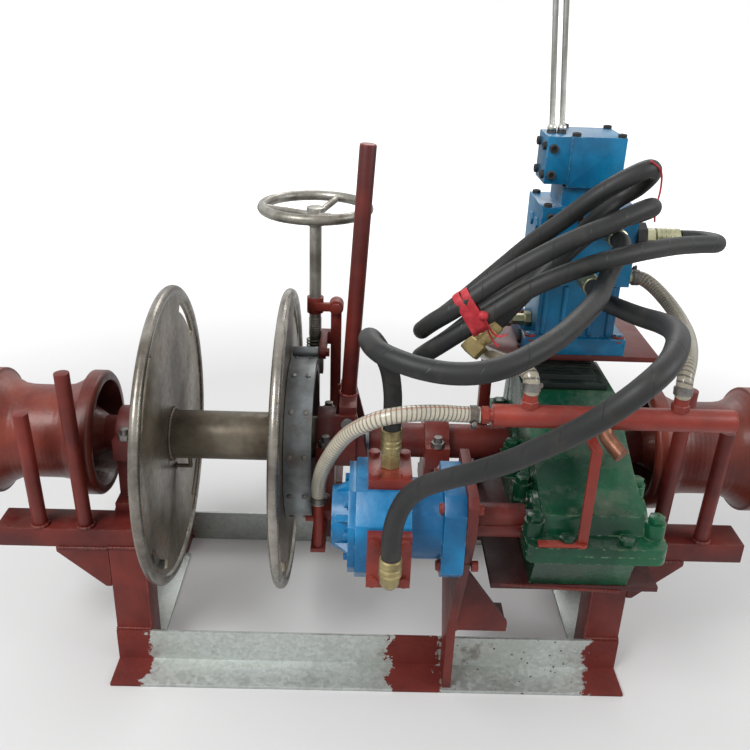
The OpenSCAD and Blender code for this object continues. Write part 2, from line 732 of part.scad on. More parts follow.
// The clutch: a jaw sleeve keyed to the shaft, moved by a fork and a lever
sleeve_x = drum_hub_end + jaw_gap;
sleeve_w = 36;
groove_x = 18;
groove_w = 12;
groove_depth = 6;
shoe_gap = 0.5;
module clutch_sleeve() {
    body_x = sleeve_x + jaw_depth;
    color("#a9adb0") {
        difference() {
            ring_x(body_x, sleeve_w - jaw_depth, jaw_d/2, shaft_d/2 + run_gap);
            ring_x(sleeve_x + groove_x, groove_w, jaw_d/2 + over, jaw_d/2 - groove_depth);
        }
        difference() {
            ring_x(sleeve_x, jaw_depth, hub_d/2, core_bore());
            translate([-over, 0, 0]) jaw_gaps(sleeve_x, hub_d/2, 0);
        }
    }
}
lever_z = 394;
fork_w = 24;
module clutch_fork() {
    shoe_x = sleeve_x + groove_x + groove_w/2;
    shoe_r = groove_w/2 - shoe_gap;
    head_z = shaft_z + pivot_rise - pin_d;
    color("#93545c") difference() {
        union() {
            translate([pivot_x - fork_w/2, shaft_y - fork_half - fork_t, head_z])
                cube([fork_w, 2*(fork_half + fork_t), lever_z - head_z]);
            for (s = [-1, 1]) translate([0, shaft_y + s*(fork_half + fork_t/2), 0]) {
                translate([0, fork_t/2, 0]) rotate([90, 0, 0]) linear_extrude(fork_t)
                    polygon([[pivot_x - fork_w/2, lever_z], [pivot_x - fork_w/2, head_z],
                        [shoe_x - groove_w, shaft_z - groove_w], [shoe_x + groove_w, shaft_z - groove_w],
                        [pivot_x + fork_w/2, head_z + fork_w], [pivot_x + fork_w/2, lever_z]]);
            }
            for (s = [-1, 1]) translate([shoe_x, shaft_y + s*(fork_half + over), shaft_z])
                rotate([s*90, 0, 0]) cylinder(h = shoe_len + over + groove_depth - shoe_gap, r = shoe_r);
        }
        translate([pivot_x, shaft_y, shaft_z + pivot_rise]) rotate([90, 0, 0])
            cylinder(h = 4*fork_half, r = pin_d/2 + run_gap, center = true);
        translate([pivot_x, shaft_y, lever_z]) rotate([0, lever_lean, 0])
            translate([0, 0, -lever_sink]) cylinder(h = 2*lever_sink, d = lever_d);
    }
}
lever_sink = 14;
module clutch_lever() {
    color("#7a2c22") translate([pivot_x, shaft_y, lever_z]) rotate([0, lever_lean, 0])
        translate([0, 0, -lever_sink]) difference() {
            cylinder(h = lever_len + lever_sink, d = lever_d);
            translate([0, 0, lever_sink])
                cylinder(h = lever_len - lever_sink - rail_wall, d = lever_d - 2*rail_wall);
        }
}
module clutch_pivot_pin() {
    half = fork_half + fork_t + seat_gap + ear_t;
    color("#8c8c88") translate([pivot_x, shaft_y, shaft_z + pivot_rise]) rotate([90, 0, 0]) {
        cylinder(h = 2*half, d = pin_d, center = true);
        for (s = [0, 1]) mirror([0, 0, s]) translate([0, 0, half]) cylinder(h = pin_d/3, r = pin_d*0.75);
    }
}

// Gears: spur wheels with trapezoid teeth and running backlash
stage_1 = gear_centres*stage_share;
module_1 = 2*stage_1/(teeth_1 + teeth_2);
stage_2 = gear_centres - stage_1;
module_2 = 2*stage_2/(teeth_3 + teeth_4);
mid_y = drive_y + stage_1;
gear_w1_share = 0.21;
gear_w1 = casing_w*gear_w1_share;
gear_w2_share = 0.274;
gear_w2 = casing_w*gear_w2_share;
gear_back_share = 0.29;
gear_back = casing_w*gear_back_share;
gear_gap_share = 0.145;
gear_gap = casing_w*gear_gap_share;
stage_1_x = gearbox_x - gear_back;
stage_2_x = stage_1_x + gear_w1 + gear_gap;
tip_share = 0.85;
root_share = 1.15;
foot_share = 0.32;
flank_share = 0.215;
crest_share = 0.10;
function tooth(teeth, m, i) =
    let (a = 360*i/teeth, pitch = 360/teeth, r = m*teeth/2)
    [[r - m*root_share, a - pitch*foot_share], [r, a - pitch*flank_share],
        [r + m*tip_share, a - pitch*crest_share], [r + m*tip_share, a + pitch*crest_share],
        [r, a + pitch*flank_share], [r - m*root_share, a + pitch*foot_share]];
function tip_r(teeth, m) = m*(teeth/2 + tip_share);
module gear(teeth, m, w, turn) {
    rotate([0, 90, 0]) rotate([0, 0, turn]) linear_extrude(w)
        polygon([for (i = [0:teeth - 1], p = tooth(teeth, m, i)) [p[0]*cos(p[1]), p[0]*sin(p[1])]]);
}
gear_hub_wall = 12;
end_gap = 2;
module output_gear() {
    color("#8d8f90") difference() {
        union() {
            translate([stage_2_x, shaft_y, shaft_z]) gear(teeth_4, module_2, gear_w2, 90 + 180/teeth_4);
            rod_x(gearbox_x - casing_w/2 + bearing_t + end_gap, casing_w - 2*(bearing_t + end_gap),
                shaft_d/2 + gear_hub_wall);
        }
        rod_x(gearbox_x - casing_w, 2*casing_w, shaft_d/2);
    }
}
module intermediate_gears() {
    color("#8d8f90") {
        translate([stage_1_x, mid_y, shaft_z]) gear(teeth_2, module_1, gear_w1, -90);
        translate([stage_2_x, mid_y, shaft_z]) gear(teeth_3, module_2, gear_w2, 90);
        rod_x(gearbox_x - casing_w/2 + end_gap, casing_w - 2*end_gap, mid_shaft_d/2, mid_y);
    }
}
mid_shaft_d = 34;
coupling_gap = 6;
coupling_short = 14;
coupling_x = motor_face_x + bracket_t + coupling_gap;
coupling_end = gearbox_x - casing_w/2 - coupling_short;
module input_pinion() {
    color("#8d8f90") {
        translate([stage_1_x, drive_y, shaft_z]) gear(teeth_1, module_1, gear_w1, 90 + 180/teeth_1);
        rod_x(coupling_mid, stage_1_x - coupling_mid, input_d/2, drive_y);
        rod_x(stage_1_x, gearbox_x + casing_w/2 - end_gap - stage_1_x, input_d/2, drive_y);
    }
}
coupling_mid = (coupling_x + coupling_end)/2;
bearing_share = 0.129;
bearing_t = casing_w*bearing_share;
bearing_ring = 14;
shaft_lines = [[shaft_y, shaft_d], [mid_y, mid_shaft_d], [drive_y, input_d]];
module gearbox_bearings() {
    color("#b9bcbd") for (s = shaft_lines, side = [0, 1])
        ring_x(gearbox_x - casing_w/2 + side*(casing_w - bearing_t), bearing_t,
            s[1]/2 + bearing_ring, s[1]/2 + run_gap, s[0]);
}

// Gearbox casing, split at the height of the shafts
flange_fore = 273;
flange_aft = 126;
wall_fore = 245;
floor_fore = 215;
gear_room = 2;
top_fore = 56;
top_aft = 54;
rear_wall = 98;
nose_z = 354;
brow_fore = 178;
brow_z = 374;
nose_back = 8;
rump = 32;
corner_round = 14;
boss_t = 3;
boss_wall = 9;
module casing_bores() {
    for (s = shaft_lines) rod_x(gearbox_x - gearbox_w, 2*gearbox_w, s[1]/2 + bearing_ring, s[0]);
    inner = casing_w - 2*bearing_t;
    rod_x(gearbox_x - inner/2, inner, tip_r(teeth_4, module_2) + gear_room, shaft_y);
    rod_x(gearbox_x - inner/2, inner, tip_r(teeth_2, module_1) + gear_room, mid_y);
    rod_x(gearbox_x - inner/2, inner, tip_r(teeth_1, module_1) + gear_room, drive_y);
}
module casing_block(points) {
    translate([gearbox_x - casing_w/2, shaft_y, 0]) rotate([90, 0, 90])
        linear_extrude(casing_w) polygon(points);
}
module split_flange(z, h) {
    r = corner_round;
    translate([gearbox_x, shaft_y + (flange_aft - flange_fore)/2, z]) linear_extrude(h)
        for (s = [-1, 1]) {
            square([gearbox_w - 2*r, flange_fore + flange_aft], center = true);
            square([gearbox_w, flange_fore + flange_aft - 2*r], center = true);
            for (t = [-1, 1])
                translate([s*(gearbox_w/2 - r), t*((flange_fore + flange_aft)/2 - r)]) circle(r);
        }
}
module gearbox_lower_casing() {
    floor_z = rail_top + plate_t;
    color("#1f5a3c") difference() {
        union() {
            casing_block([[-floor_fore, floor_z], [-wall_fore, shaft_z], [rear_wall, shaft_z],
                [rear_wall, floor_z]]);
            split_flange(shaft_z - split_t/2, split_t/2);
        }
        casing_bores();
    }
}
lobe_r = 12;
lobe_h = 20;
lobe_x = casing_w/2 + bolt_d*head_share/2 + seat_gap;
input_lobe = 43;
output_lobe = 64;
lobes = [for (y = [-gear_centres - input_lobe, -gear_centres + input_lobe, -output_lobe, output_lobe],
    side = [-1, 1]) [side, y]];
module gearbox_upper_casing() {
    color("#24704a") difference() {
        union() {
            casing_block([[-wall_fore, shaft_z], [-wall_fore, shaft_z + split_t/2],
                [-wall_fore + nose_back, nose_z], [-brow_fore, brow_z], [-top_fore, casing_top],
                [top_aft, casing_top], [top_aft + rump, casing_top - rump],
                [rear_wall, shaft_z + split_t/2], [rear_wall, shaft_z]]);
            split_flange(shaft_z, split_t/2);
            for (l = lobes) translate([gearbox_x + l[0]*lobe_x, shaft_y + l[1], shaft_z])
                cylinder(h = lobe_h + split_t/2, r = lobe_r);
            for (s = shaft_lines) for (side = [-1, 1]) intersection() {
                rod_x(gearbox_x + side*(casing_w/2 + boss_t) - boss_t, 2*boss_t,
                    s[1]/2 + bearing_ring + boss_wall, s[0]);
                translate([gearbox_x - gearbox_w, shaft_y - flange_fore, shaft_z])
                    cube([2*gearbox_w, flange_fore + flange_aft, casing_top]);
            }
        }
        casing_bores();
    }
}
cover_w = 104;
cover_d = 92;
cover_t = 10;
fin_count = 7;
fin_t = 5;
fin_w_share = 0.76;
fin_h_share = 0.7;
module gearbox_top_cover() {
    margin = cover_w*(1 - fin_w_share)/2;
    color("#143c2a") translate([gearbox_x - cover_w/2, shaft_y - cover_d/2, casing_top]) {
        cube([cover_w, cover_d, cover_t]);
        for (i = [0:fin_count - 1]) translate([margin, margin + (cover_d - 2*margin)*i/fin_count, cover_t])
            cube([cover_w*fin_w_share, fin_t, cover_t*fin_h_share]);
    }
}
rim_edge = 13;
rim_bolt_x_share = 0.3;
front_bolt_x_share = 0.21;
rim_bolts = [[-front_bolt_x_share, -flange_fore + rim_edge], [front_bolt_x_share, -flange_fore + rim_edge],
    [-rim_bolt_x_share, flange_aft - rim_edge], [rim_bolt_x_share, flange_aft - rim_edge]];
module gearbox_bolts() {
    color("#3a4a42") {
        for (b = rim_bolts) translate([gearbox_x + b[0]*gearbox_w, shaft_y + b[1], shaft_z + split_t/2])
            hex_head(bolt_d);
        for (l = lobes) translate([gearbox_x + l[0]*lobe_x, shaft_y + l[1],
            shaft_z + lobe_h + split_t/2]) hex_head(bolt_d);
    }
}

// Motor, its coupling and its ports
slit_w = 4;
module shaft_coupling() {
    color("#6a2026") difference() {
        rod_x(coupling_x, coupling_end - coupling_x, coupling_d/2, drive_y);
        rod_x(coupling_mid, coupling_end, input_d/2, drive_y);
        translate([coupling_x - over, drive_y - coupling_d/2 - over, shaft_z + slit_w])
            cube([coupling_end, over + slit_w/2, slit_w]);
    }
}
motor_chamfer = 30;
module motor_section(h, inset = 0) {
    a = motor_half_d - inset;
    b = motor_half_h - inset;
    c = motor_chamfer;
    rotate([90, 0, 90]) linear_extrude(h) polygon([[-a, -b + c], [-a + c, -b], [a - c, -b], [a, -b + c],
        [a, b - c], [a - c, b], [-a + c, b], [-a, b - c]]);
}
module motor_body() {
    ring_x0 = motor_face_x - motor_flange_t - ring_l;
    color("#1f86c8") {
        translate([ring_x0 - motor_body_l, drive_y, shaft_z]) motor_section(motor_body_l);
        rod_x(ring_x0, ring_l, motor_ring_d/2, drive_y);
        difference() {
            translate([motor_face_x - motor_flange_t, drive_y - motor_flange/2, shaft_z - motor_flange/2])
                cube([motor_flange_t, motor_flange, motor_flange]);
            for (y = [-1, 1], z = [-1, 1])
                translate([motor_face_x - motor_flange_t - over, drive_y + y*motor_flange/2,
                    shaft_z + z*motor_flange/2])
                    rotate([45, 0, 0]) translate([0, -flange_cut/2, -flange_cut/2])
                        cube([motor_flange_t + 2*over, flange_cut, flange_cut]);
        }
        rod_x(motor_face_x, coupling_x - motor_face_x, input_d/2, drive_y);
    }
}
motor_flange_t = 27;
flange_cut = 26;
ring_l = 38;
rib_count = 6;
rib_t = 8;
cover_inset = 4;
cover_plate_share = 0.3;
cover_boss_share = 0.62;
rib_root_share = 0.86;
module motor_end_cover() {
    x1 = motor_face_x - motor_flange_t - ring_l - motor_body_l;
    color("#2b93d6") {
        plate = motor_cover_l*cover_plate_share;
        boss_l = motor_cover_l - plate;
        translate([x1 - plate, drive_y, shaft_z]) motor_section(plate, cover_inset);
        rod_x(x1 - motor_cover_l, motor_cover_l, motor_half_h*cover_boss_share, drive_y);
        translate([0, drive_y, shaft_z]) for (i = [0:rib_count - 1]) rotate([i*360/rib_count, 0, 0])
            translate([x1 - plate/2, 0, 0]) rotate([90, 0, 0]) translate([0, 0, -rib_t/2])
                linear_extrude(rib_t) polygon([[0, 0], [0, motor_half_h*rib_root_share],
                    [-boss_l, motor_half_h*cover_boss_share], [-boss_l, 0]]);
    }
}
module motor_bolts() {
    color("#7b3426") motor_bolt_places() {
        translate([motor_face_x - motor_flange_t, 0, 0]) rotate([0, -90, 0]) hex_head(small_bolt_d);
        rod_x(motor_face_x + bracket_t, small_bolt_d, small_bolt_d*head_share/2, 0, 0);
    }
}
port_x = 16;
port_w = 52;
port_h = 72;
port_bolt_share = 0.36;
port_drop = 8;
module port_plate() {
    translate([-port_w/2, -port_h/2, 0]) cube([port_w, port_h, port_t]);
    for (x = [-1, 1], y = [-1, 1])
        translate([x*port_w*port_bolt_share, y*port_h*port_bolt_share, port_t])
            cylinder(h = small_bolt_d*head_h_share, d = small_bolt_d*head_share);
}
module port_plates() {
    color("#8a2f28") {
        translate([port_x, drive_y - motor_half_d, shaft_z - port_drop]) rotate([90, 0, 0]) port_plate();
        translate([port_x, drive_y, shaft_z + motor_half_h]) port_plate();
    }
}
elbow_y = drive_y - motor_half_d - port_t - elbow_reach;
elbow_z = shaft_z - port_drop;
neck_share = 0.8;
ferrule_a_top = 350;
ferrule_b_top = 446;
module hose_fittings() {
    color("#a79f55") {
        translate([port_x, elbow_y, elbow_z]) rotate([-90, 0, 0])
            cylinder(h = elbow_reach, r = elbow_r*neck_share);
        translate([port_x, elbow_y, elbow_z]) sphere(r = elbow_r);
        translate([port_x, elbow_y, elbow_z]) cylinder(h = ferrule_a_top - elbow_z, r = elbow_r);
        translate([port_x, drive_y, shaft_z + motor_half_h + port_t])
            cylinder(h = ferrule_b_top - shaft_z - motor_half_h - port_t,
                r1 = elbow_r*neck_share, r2 = elbow_r);
        // fittings of the valve, from its faces to the ends of the hoses
        for (route = [front_route, top_route]) {
            q = end_of(route);
            rod([q[0], valve_y - block_d/2, q[2]], q, ferrule_d);
        }
        rod([valve_x + block_w/2, supply_route[0][1] + shaft_y, supply_route[0][2]],
            supply_route[0] + [0, shaft_y, 0], ferrule_d);
        barb_d = water_hose_d - 2*barb_wall;
        m = end_of(middle_water_route);
        rod(m, [valve_x - waist_w/2, m[1], m[2]], barb_d);
        r = end_of(right_water_route);
        rod([valve_x + block_w/2, r[1], r[2]], r, barb_d);
    }
}
function end_of(route) = route[len(route) - 1] + [0, shaft_y, 0];
block_w = 128;       // middle block of the valve
block_d = 100;
block_h = 104;
waist_w = 108;       // lower body of the valve
waist_d = 92;
waist_h = 74;
barb_wall = 1.5;

// Valve on its platform
platform_x0 = 152;
platform_w = 240;
platform_fore = 8;
platform_d = 158;
leg_w = 16;
leg_edge = 2;
far_leg_x = 300;
rear_leg_y = shaft_y - platform_fore + platform_d - leg_w;
module valve_platform() {
    color("#7a2f28") {
        translate([platform_x0, shaft_y - platform_fore, platform_z - platform_t])
            cube([platform_w, platform_d, platform_t]);
        translate([platform_x0, shaft_y + beam_w/2, rail_top + plate_t])
            cube([leg_w, leg_w, platform_z - platform_t - rail_top - plate_t]);
        for (x = [platform_x0 + leg_w, far_leg_x]) translate([x, rear_leg_y, rail_top + plate_t])
            cube([leg_w, leg_w, platform_z - platform_t - rail_top - plate_t]);
    }
}
valve_x = 271;
valve_behind = 50;
valve_y = shaft_y + valve_behind;
valve_base_w = 140;
valve_base_d = 112;
valve_base_h = 24;
base_bolt_edge = 9;
neck_w = 76;
neck_d = 72;
neck_h = 26;
waist_z = platform_z + valve_base_h;
block_z = waist_z + waist_h;
neck_z = block_z + block_h;
head_z0 = neck_z + neck_h;
module valve_block(w, d, z, h) {
    translate([valve_x - w/2, valve_y - d/2, z]) cube([w, d, h]);
}
module valve_body() {
    color("#1c74b4") {
        valve_block(valve_base_w, valve_base_d, platform_z, valve_base_h);
        valve_block(waist_w, waist_d, waist_z, waist_h);
        valve_block(block_w, block_d, block_z, block_h);
        valve_block(neck_w, neck_d, neck_z, head_z0 - neck_z);
        for (x = [-1, 1], y = [-1, 1])
            translate([valve_x + x*(valve_base_w/2 - base_bolt_edge),
                valve_y + y*(valve_base_d/2 - base_bolt_edge), platform_z + valve_base_h])
                hex_head(small_bolt_d);
    }
}
head_w2 = 70;
head_d2 = 88;
linkage_w = 31;
linkage_d = 60;
linkage_up = 4;
module valve_head() {
    color("#1f7fc2") {
        valve_block(head_w2, head_d2, head_z0, valve_top - head_z0);
        translate([valve_x - head_w2/2 - linkage_w, valve_lever_y - linkage_d/2, head_z0 + linkage_up])
            cube([linkage_w, linkage_d, valve_top - head_z0 - linkage_up]);
    }
}
lever_ball_d = 12;
lever_tip_d = 11;
lever_lean_left = 5;   // lean of the valve levers to the left, in degrees
lever_ahead = 16;
lever_apart = 13;
valve_lever_y = valve_y - lever_ahead;
right_lever_x = valve_x - head_w2/2 - linkage_w/2 + lever_apart/2;
left_lever_x = right_lever_x - lever_apart;
module valve_lever(x) {
    color("#c8c8c4") translate([x, valve_lever_y, valve_top + seat_gap + lever_ball_d/2]) {
        sphere(d = lever_ball_d);
        rotate([0, -lever_lean_left, 0]) {
            cylinder(h = valve_lever_len - lever_ball_d, d = valve_lever_d);
            translate([0, 0, valve_lever_len - 4*lever_tip_d]) cylinder(h = 3*lever_tip_d, d = lever_tip_d);
        }
    }
}
module valve_lever_left() {
    valve_lever(left_lever_x);
}
module valve_lever_right() {
    valve_lever(right_lever_x);
}

// Water manifold and its stays
manifold_ahead = 16;
manifold_y = drive_y - manifold_ahead;
manifold_x0 = 131;
manifold_l = 280;
nipple_l = 14;
nipple_d = 16;
stub_places = [172, 346];
stub_d = 17;
stub_h = 17.5;
module water_manifold() {
    color("#8a322c") {
        rod_x(manifold_x0, manifold_l, manifold_d/2, manifold_y, manifold_z);
        rod_x(manifold_x0 - nipple_l, nipple_l + over, nipple_d/2, manifold_y, manifold_z);
        for (x = stub_places) translate([x, manifold_y, manifold_z])
            cylinder(h = manifold_d/2 + stub_h, d = stub_d);
    }
}
nozzle_d = 14;
jet_d = 8;
jet_l = 10;
jet_drop = 24;
flat_w = 20;
flat_t = 6;
module water_nozzle() {
    q = end_of(left_water_route);
    color("#8a322c") {
        translate([q[0], q[1], rail_top - flat_t]) cylinder(h = q[2] - rail_top + flat_t, d = nozzle_d);
        translate([q[0] - nozzle_d/2 - jet_l, q[1], q[2] - jet_drop]) rotate([0, 90, 0])
            cylinder(h = jet_l + nozzle_d/2, d = jet_d);
        translate([q[0] - flat_w/2, q[1] - flat_w/2, rail_top - flat_t])
            cube([flat_w, shaft_y - beam_w/2 - q[1] + flat_w/2, flat_t]);
    }
}
stay_w = 12;
stay_left = 19;       // middle of the gearbox to the stay
stay_t = 5;
stay_edge = 4;
module manifold_stays() {
    color("#9c3c2c") {
        bottom = manifold_z - manifold_d/2;
        foot_y = shaft_y - flange_fore + stay_edge;
        translate([gearbox_x - stay_left - stay_w/2, foot_y, shaft_z + split_t/2])
            cube([stay_w, stay_t, bottom - shaft_z - split_t/2]);
        translate([gearbox_x - stay_left - stay_w/2, foot_y, bottom - stay_t])
            cube([stay_w, manifold_y - foot_y + stay_w/2, stay_t]);
    }
}

// A hose is swept along its route: places right of the middle, behind the shaft, above ground
hose_sides = 8;
function unit(v) = v/norm(v);
function tangents(p) = [for (i = [0:len(p) - 1])
    unit(p[min(i + 1, len(p) - 1)] - p[max(i - 1, 0)])];
function side_vectors(t) = [for (i = 0, u = unit(cross(t[0], [3, 2, 1])); i < len(t);
    i = i + 1, u = i < len(t) ? unit(u - t[i]*(u*t[i])) : u) u];
module hose(route, d) {
    p = [for (q = route) q + [0, shaft_y, 0]];
    t = tangents(p);
    u = side_vectors(t);
    n = hose_sides;
    rings = len(p);
    points = [for (i = [0:rings - 1], k = [0:n - 1])
        p[i] + (u[i]*cos(360*k/n) + cross(t[i], u[i])*sin(360*k/n))*d/2];
    walls = [for (i = [0:rings - 2], k = [0:n - 1]) let (a = i*n + k, b = i*n + (k + 1)%n)
        each [[a, a + n, b], [b, a + n, b + n]]];
    ends = [for (k = [1:n - 2]) each [[0, k, k + 1],
        [(rings - 1)*n, (rings - 1)*n + k + 1, (rings - 1)*n + k]]];
    polyhedron(points = points, faces = concat(walls, ends));
}
// Least gap of a hose to itself, measured on points between its rings
function along(p, n) = [for (i = [0:len(p) - 2], k = [0:n - 1]) p[i] + (p[i + 1] - p[i])*k/n];
function least_gap(p, d, apart) = min([for (i = [0:len(p) - 1 - apart], j = [i + apart:len(p) - 1])
    norm(p[i] - p[j])]) - d;

front_route = [[16, -322, 350], [16, -322, 374], [19, -323, 400], [28, -328, 428], [44, -339, 452],
    [66, -355, 472], [94, -376, 495], [120, -398, 520], [146, -418, 548], [170, -436, 575],
    [192, -447, 600], [214, -448, 622], [238, -430, 636], [258, -392, 641], [272, -342, 634],
    [280, -286, 620], [280, -226, 604], [276, -166, 591], [271, -116, 582], [271, -86, 580],
    [271, -56, 580]];
top_route = [[16, -200, 446], [16, -200, 468], [15, -200, 494], [10, -204, 524], [0, -220, 552],
    [-10, -248, 577], [-15, -282, 593], [-13, -314, 600], [-4, -340, 602], [12, -356, 601],
    [34, -368, 599], [60, -375, 598], [88, -376, 600], [116, -368, 605], [144, -350, 612],
    [172, -322, 618], [198, -284, 622], [222, -240, 622], [240, -196, 616], [256, -150, 611],
    [274, -108, 618], [292, -78, 634], [298, -60, 640], [298, -44, 640]];
supply_route = [[395, 14, 629], [401, 14, 629], [421, 5, 631], [431, -18, 634], [422, -44, 638],
    [396, -62, 642],
    [362, -82, 645], [328, -106, 647], [290, -128, 646], [250, -142, 639], [208, -148, 625],
    [170, -150, 606], [134, -152, 581], [92, -148, 548], [64, -135, 521], [52, -102, 497],
    [64, -70, 492], [92, -57, 507],
    [134, -50, 542], [176, -45, 572], [220, -40, 604], [252, -35, 634], [282, -34, 660],
    [304, -48, 670], [320, -72, 685], [314, -98, 695], [292, -115, 692],
    [258, -130, 680], [220, -140, 666], [179, -146, 645], [136, -144, 616], [92, -146, 582],
    [64, -133, 557], [52, -102, 533], [64, -70, 528], [92, -48, 542],
    [122, -42, 568], [153, -42, 598], [186, -56, 636], [218, -74, 670], [252, -90, 706],
    [288, -92, 730], [309, -85, 737], [318, -67, 727], [309, -50, 707], [288, -44, 690],
    [264, -60, 673], [240, -73, 650], [216, -80, 625], [194, -84, 600], [175, -88, 576],
    [159, -92, 559], [148, -94, 546], [138, -96, 534]];
left_water_route = [[117, -216, 475], [100, -216, 475], [60, -228, 482], [20, -236, 482],
    [-10, -230, 469], [-40, -204, 434], [-64, -172, 378], [-73, -142, 332], [-74, -132, 308],
    [-74, -132, 294]];
middle_water_route = [[172, -216, 506], [172, -216, 512], [170, -209, 524], [160, -186, 526],
    [148, -140, 512],
    [138, -84, 497], [132, -36, 486], [134, 8, 482], [150, 36, 488], [172, 44, 497], [184, 45, 497],
    [190, 45, 497]];
right_water_route = [[346, -216, 506], [346, -216, 512], [348, -209, 526], [358, -186, 536],
    [374, -140, 538],
    [384, -90, 541], [383, -40, 550], [372, -4, 562], [358, 11, 571], [346, 14, 573],
    [340, 14, 573]];

module motor_hoses() {
    color("#3c3e3e") {
        hose(front_route, hose_d);
        hose(top_route, hose_d);
    }
}
module supply_hose() {
    color("#3a3c3d") hose(supply_route, hose_d);
}
echo(supply_hose_gap = least_gap(along(supply_route, 4), hose_d, 16));
module water_hoses() {
    color("#d7cdb4") {
        hose(left_water_route, water_hose_d);
        hose(middle_water_route, water_hose_d);
        hose(right_water_route, water_hose_d);
    }
}
// A rod from one point to another
module rod(a, b, d, sides = 32) {
    v = b - a;
    translate(a) rotate([0, acos(v[2]/norm(v)), atan2(v[1], v[0])])
        cylinder(h = norm(v), d = d, $fn = sides);
}
nut_len = 20;
tail_share = 0.95;
nut_share = 1.3;
module supply_nut() {
    n = len(supply_route);
    a = supply_route[n - 1] + [0, shaft_y, 0];
    d = unit(supply_route[n - 1] - supply_route[n - 2]);
    color("#c8ae5c") {
        rod(a, a + d*nut_len, hose_d*tail_share);
        rod(a + d*nut_len, a + d*nut_len*2, hose_d*nut_share, 6);
    }
}
tie_w = 16;
tie_t = 1.2;
tie_gap = 2.8;
module hose_tie() {
    low = (supply_route[12] + supply_route[13])/2 + [0, shaft_y, 0];
    high = (supply_route[30] + supply_route[31])/2 + [0, shaft_y, 0];
    d = unit(supply_route[12] - supply_route[13]);
    step = (high - low) - d*((high - low)*d);
    color("#c8323c") difference() {
        hull() for (q = [low, low + step])
            rod(q - d*tie_w/2, q + d*tie_w/2, hose_d + 2*(tie_gap + tie_t), 24);
        hull() for (q = [low, low + step])
            rod(q - d*tie_w, q + d*tie_w, hose_d + 2*tie_gap, 24);
    }
}

base_angles();
base_cross_angles();
corner_posts();
rope_arms();
side_rails();
arm_gussets();
guide_bars();
shaft_beam();
gearbox_plate();
motor_bracket();
bearing_housings();
bearing_bushes();
bearing_bolts();
main_shaft();
warping_head_left();
warping_head_right();
shaft_collars();
output_gear();
intermediate_gears();
input_pinion();
gearbox_bearings();
gearbox_lower_casing();
gearbox_upper_casing();
gearbox_top_cover();
gearbox_bolts();
drum_core();
drum_flange_left();
drum_flange_right();
drum_bushes();
brake_drum();
brake_band();
brake_lining();
brake_post();
brake_nut_arm();
brake_swivel();
brake_spindle();
handwheel();
clutch_sleeve();
clutch_fork();
clutch_lever();
clutch_pivot_pin();
shaft_coupling();
motor_body();
motor_end_cover();
motor_bolts();
port_plates();
hose_fittings();
valve_platform();
valve_body();
valve_head();
valve_lever_left();
valve_lever_right();
water_manifold();
manifold_stays();
water_nozzle();
motor_hoses();
supply_hose();
supply_nut();
hose_tie();
water_hoses();
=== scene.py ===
# %% [markdown]
# # A hydraulic net hauler, dressed over its solids
# The machine hauls fishing nets: a drum and two warping heads sit on one shaft,
# a blue motor drives it through a green gearbox, and a valve steers the oil.
# The solids give every size. This lesson adds the looks: paint, worn steel,
# rubber, welds, screws and hose ends.

# %% Load the solids of the hauler
import json
from math import cos, hypot, pi, radians, sin
import bpy
from mathutils import Matrix, Vector


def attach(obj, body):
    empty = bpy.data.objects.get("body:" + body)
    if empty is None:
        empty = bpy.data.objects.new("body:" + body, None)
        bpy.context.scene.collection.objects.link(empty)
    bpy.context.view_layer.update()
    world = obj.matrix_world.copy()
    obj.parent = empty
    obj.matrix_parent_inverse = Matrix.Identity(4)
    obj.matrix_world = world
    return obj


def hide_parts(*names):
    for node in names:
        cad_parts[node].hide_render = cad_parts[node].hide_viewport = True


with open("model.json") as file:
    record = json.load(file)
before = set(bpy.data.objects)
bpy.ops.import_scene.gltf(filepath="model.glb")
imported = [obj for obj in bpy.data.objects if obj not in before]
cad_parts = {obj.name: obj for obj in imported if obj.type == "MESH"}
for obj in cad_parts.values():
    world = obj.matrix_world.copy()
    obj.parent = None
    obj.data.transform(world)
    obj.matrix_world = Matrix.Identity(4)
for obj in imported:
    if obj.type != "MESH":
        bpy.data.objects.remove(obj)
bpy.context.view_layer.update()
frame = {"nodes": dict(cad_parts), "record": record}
MM = 0.001
SHAFT_UP = 321
SHAFT_Y, SHAFT_Z = 43 * MM, SHAFT_UP * MM
LEFT, RIGHT, FRONT, UP = (-1, 0, 0), (1, 0, 0), (0, -1, 0), (0, 0, 1)


def spot(x, behind, z):
    """A place given in millimetres: right of the middle, behind the shaft, above ground."""
    return Vector((x * MM, SHAFT_Y + behind * MM, z * MM))


def placed(name, data):
    """A new object that shows this data."""
    made = bpy.data.objects.new(name, data)
    bpy.context.scene.collection.objects.link(made)
    return made


# %% [markdown]
# ## The camera
# The photograph looks down at the machine from the front. The camera's height,
# tilt and small roll were worked out from the shaft line and the round flanges.

# %% Set up the camera
yaw, pitch, roll = (radians(a) for a in (1.07, 24.51, 2.02))
ahead = Vector((sin(yaw) * cos(pitch), cos(yaw) * cos(pitch), -sin(pitch)))
level = Vector((cos(yaw), -sin(yaw), 0))
down = ahead.cross(level)
side = level * cos(roll) - down * sin(roll)
below = level * sin(roll) + down * cos(roll)
lens = bpy.data.cameras.new("camera")
lens.lens = 40.75
lens.sensor_width = 36
lens.clip_end = 50
camera = placed("camera", lens)
stand = Matrix((side, -below, -ahead)).transposed().to_4x4()
stand.translation = Vector((-0.0227, -1.0445, 0.9192))
camera.matrix_world = stand
bpy.context.scene.camera = camera
print("camera at", tuple(round(v, 3) for v in camera.location))

# %% [markdown]
# ## Shader maths as Python
# A finish is a small network of nodes. Wrapping a socket in a class lets us
# write that network as sums and products, which reads like the idea behind it.

# %% A socket that does maths


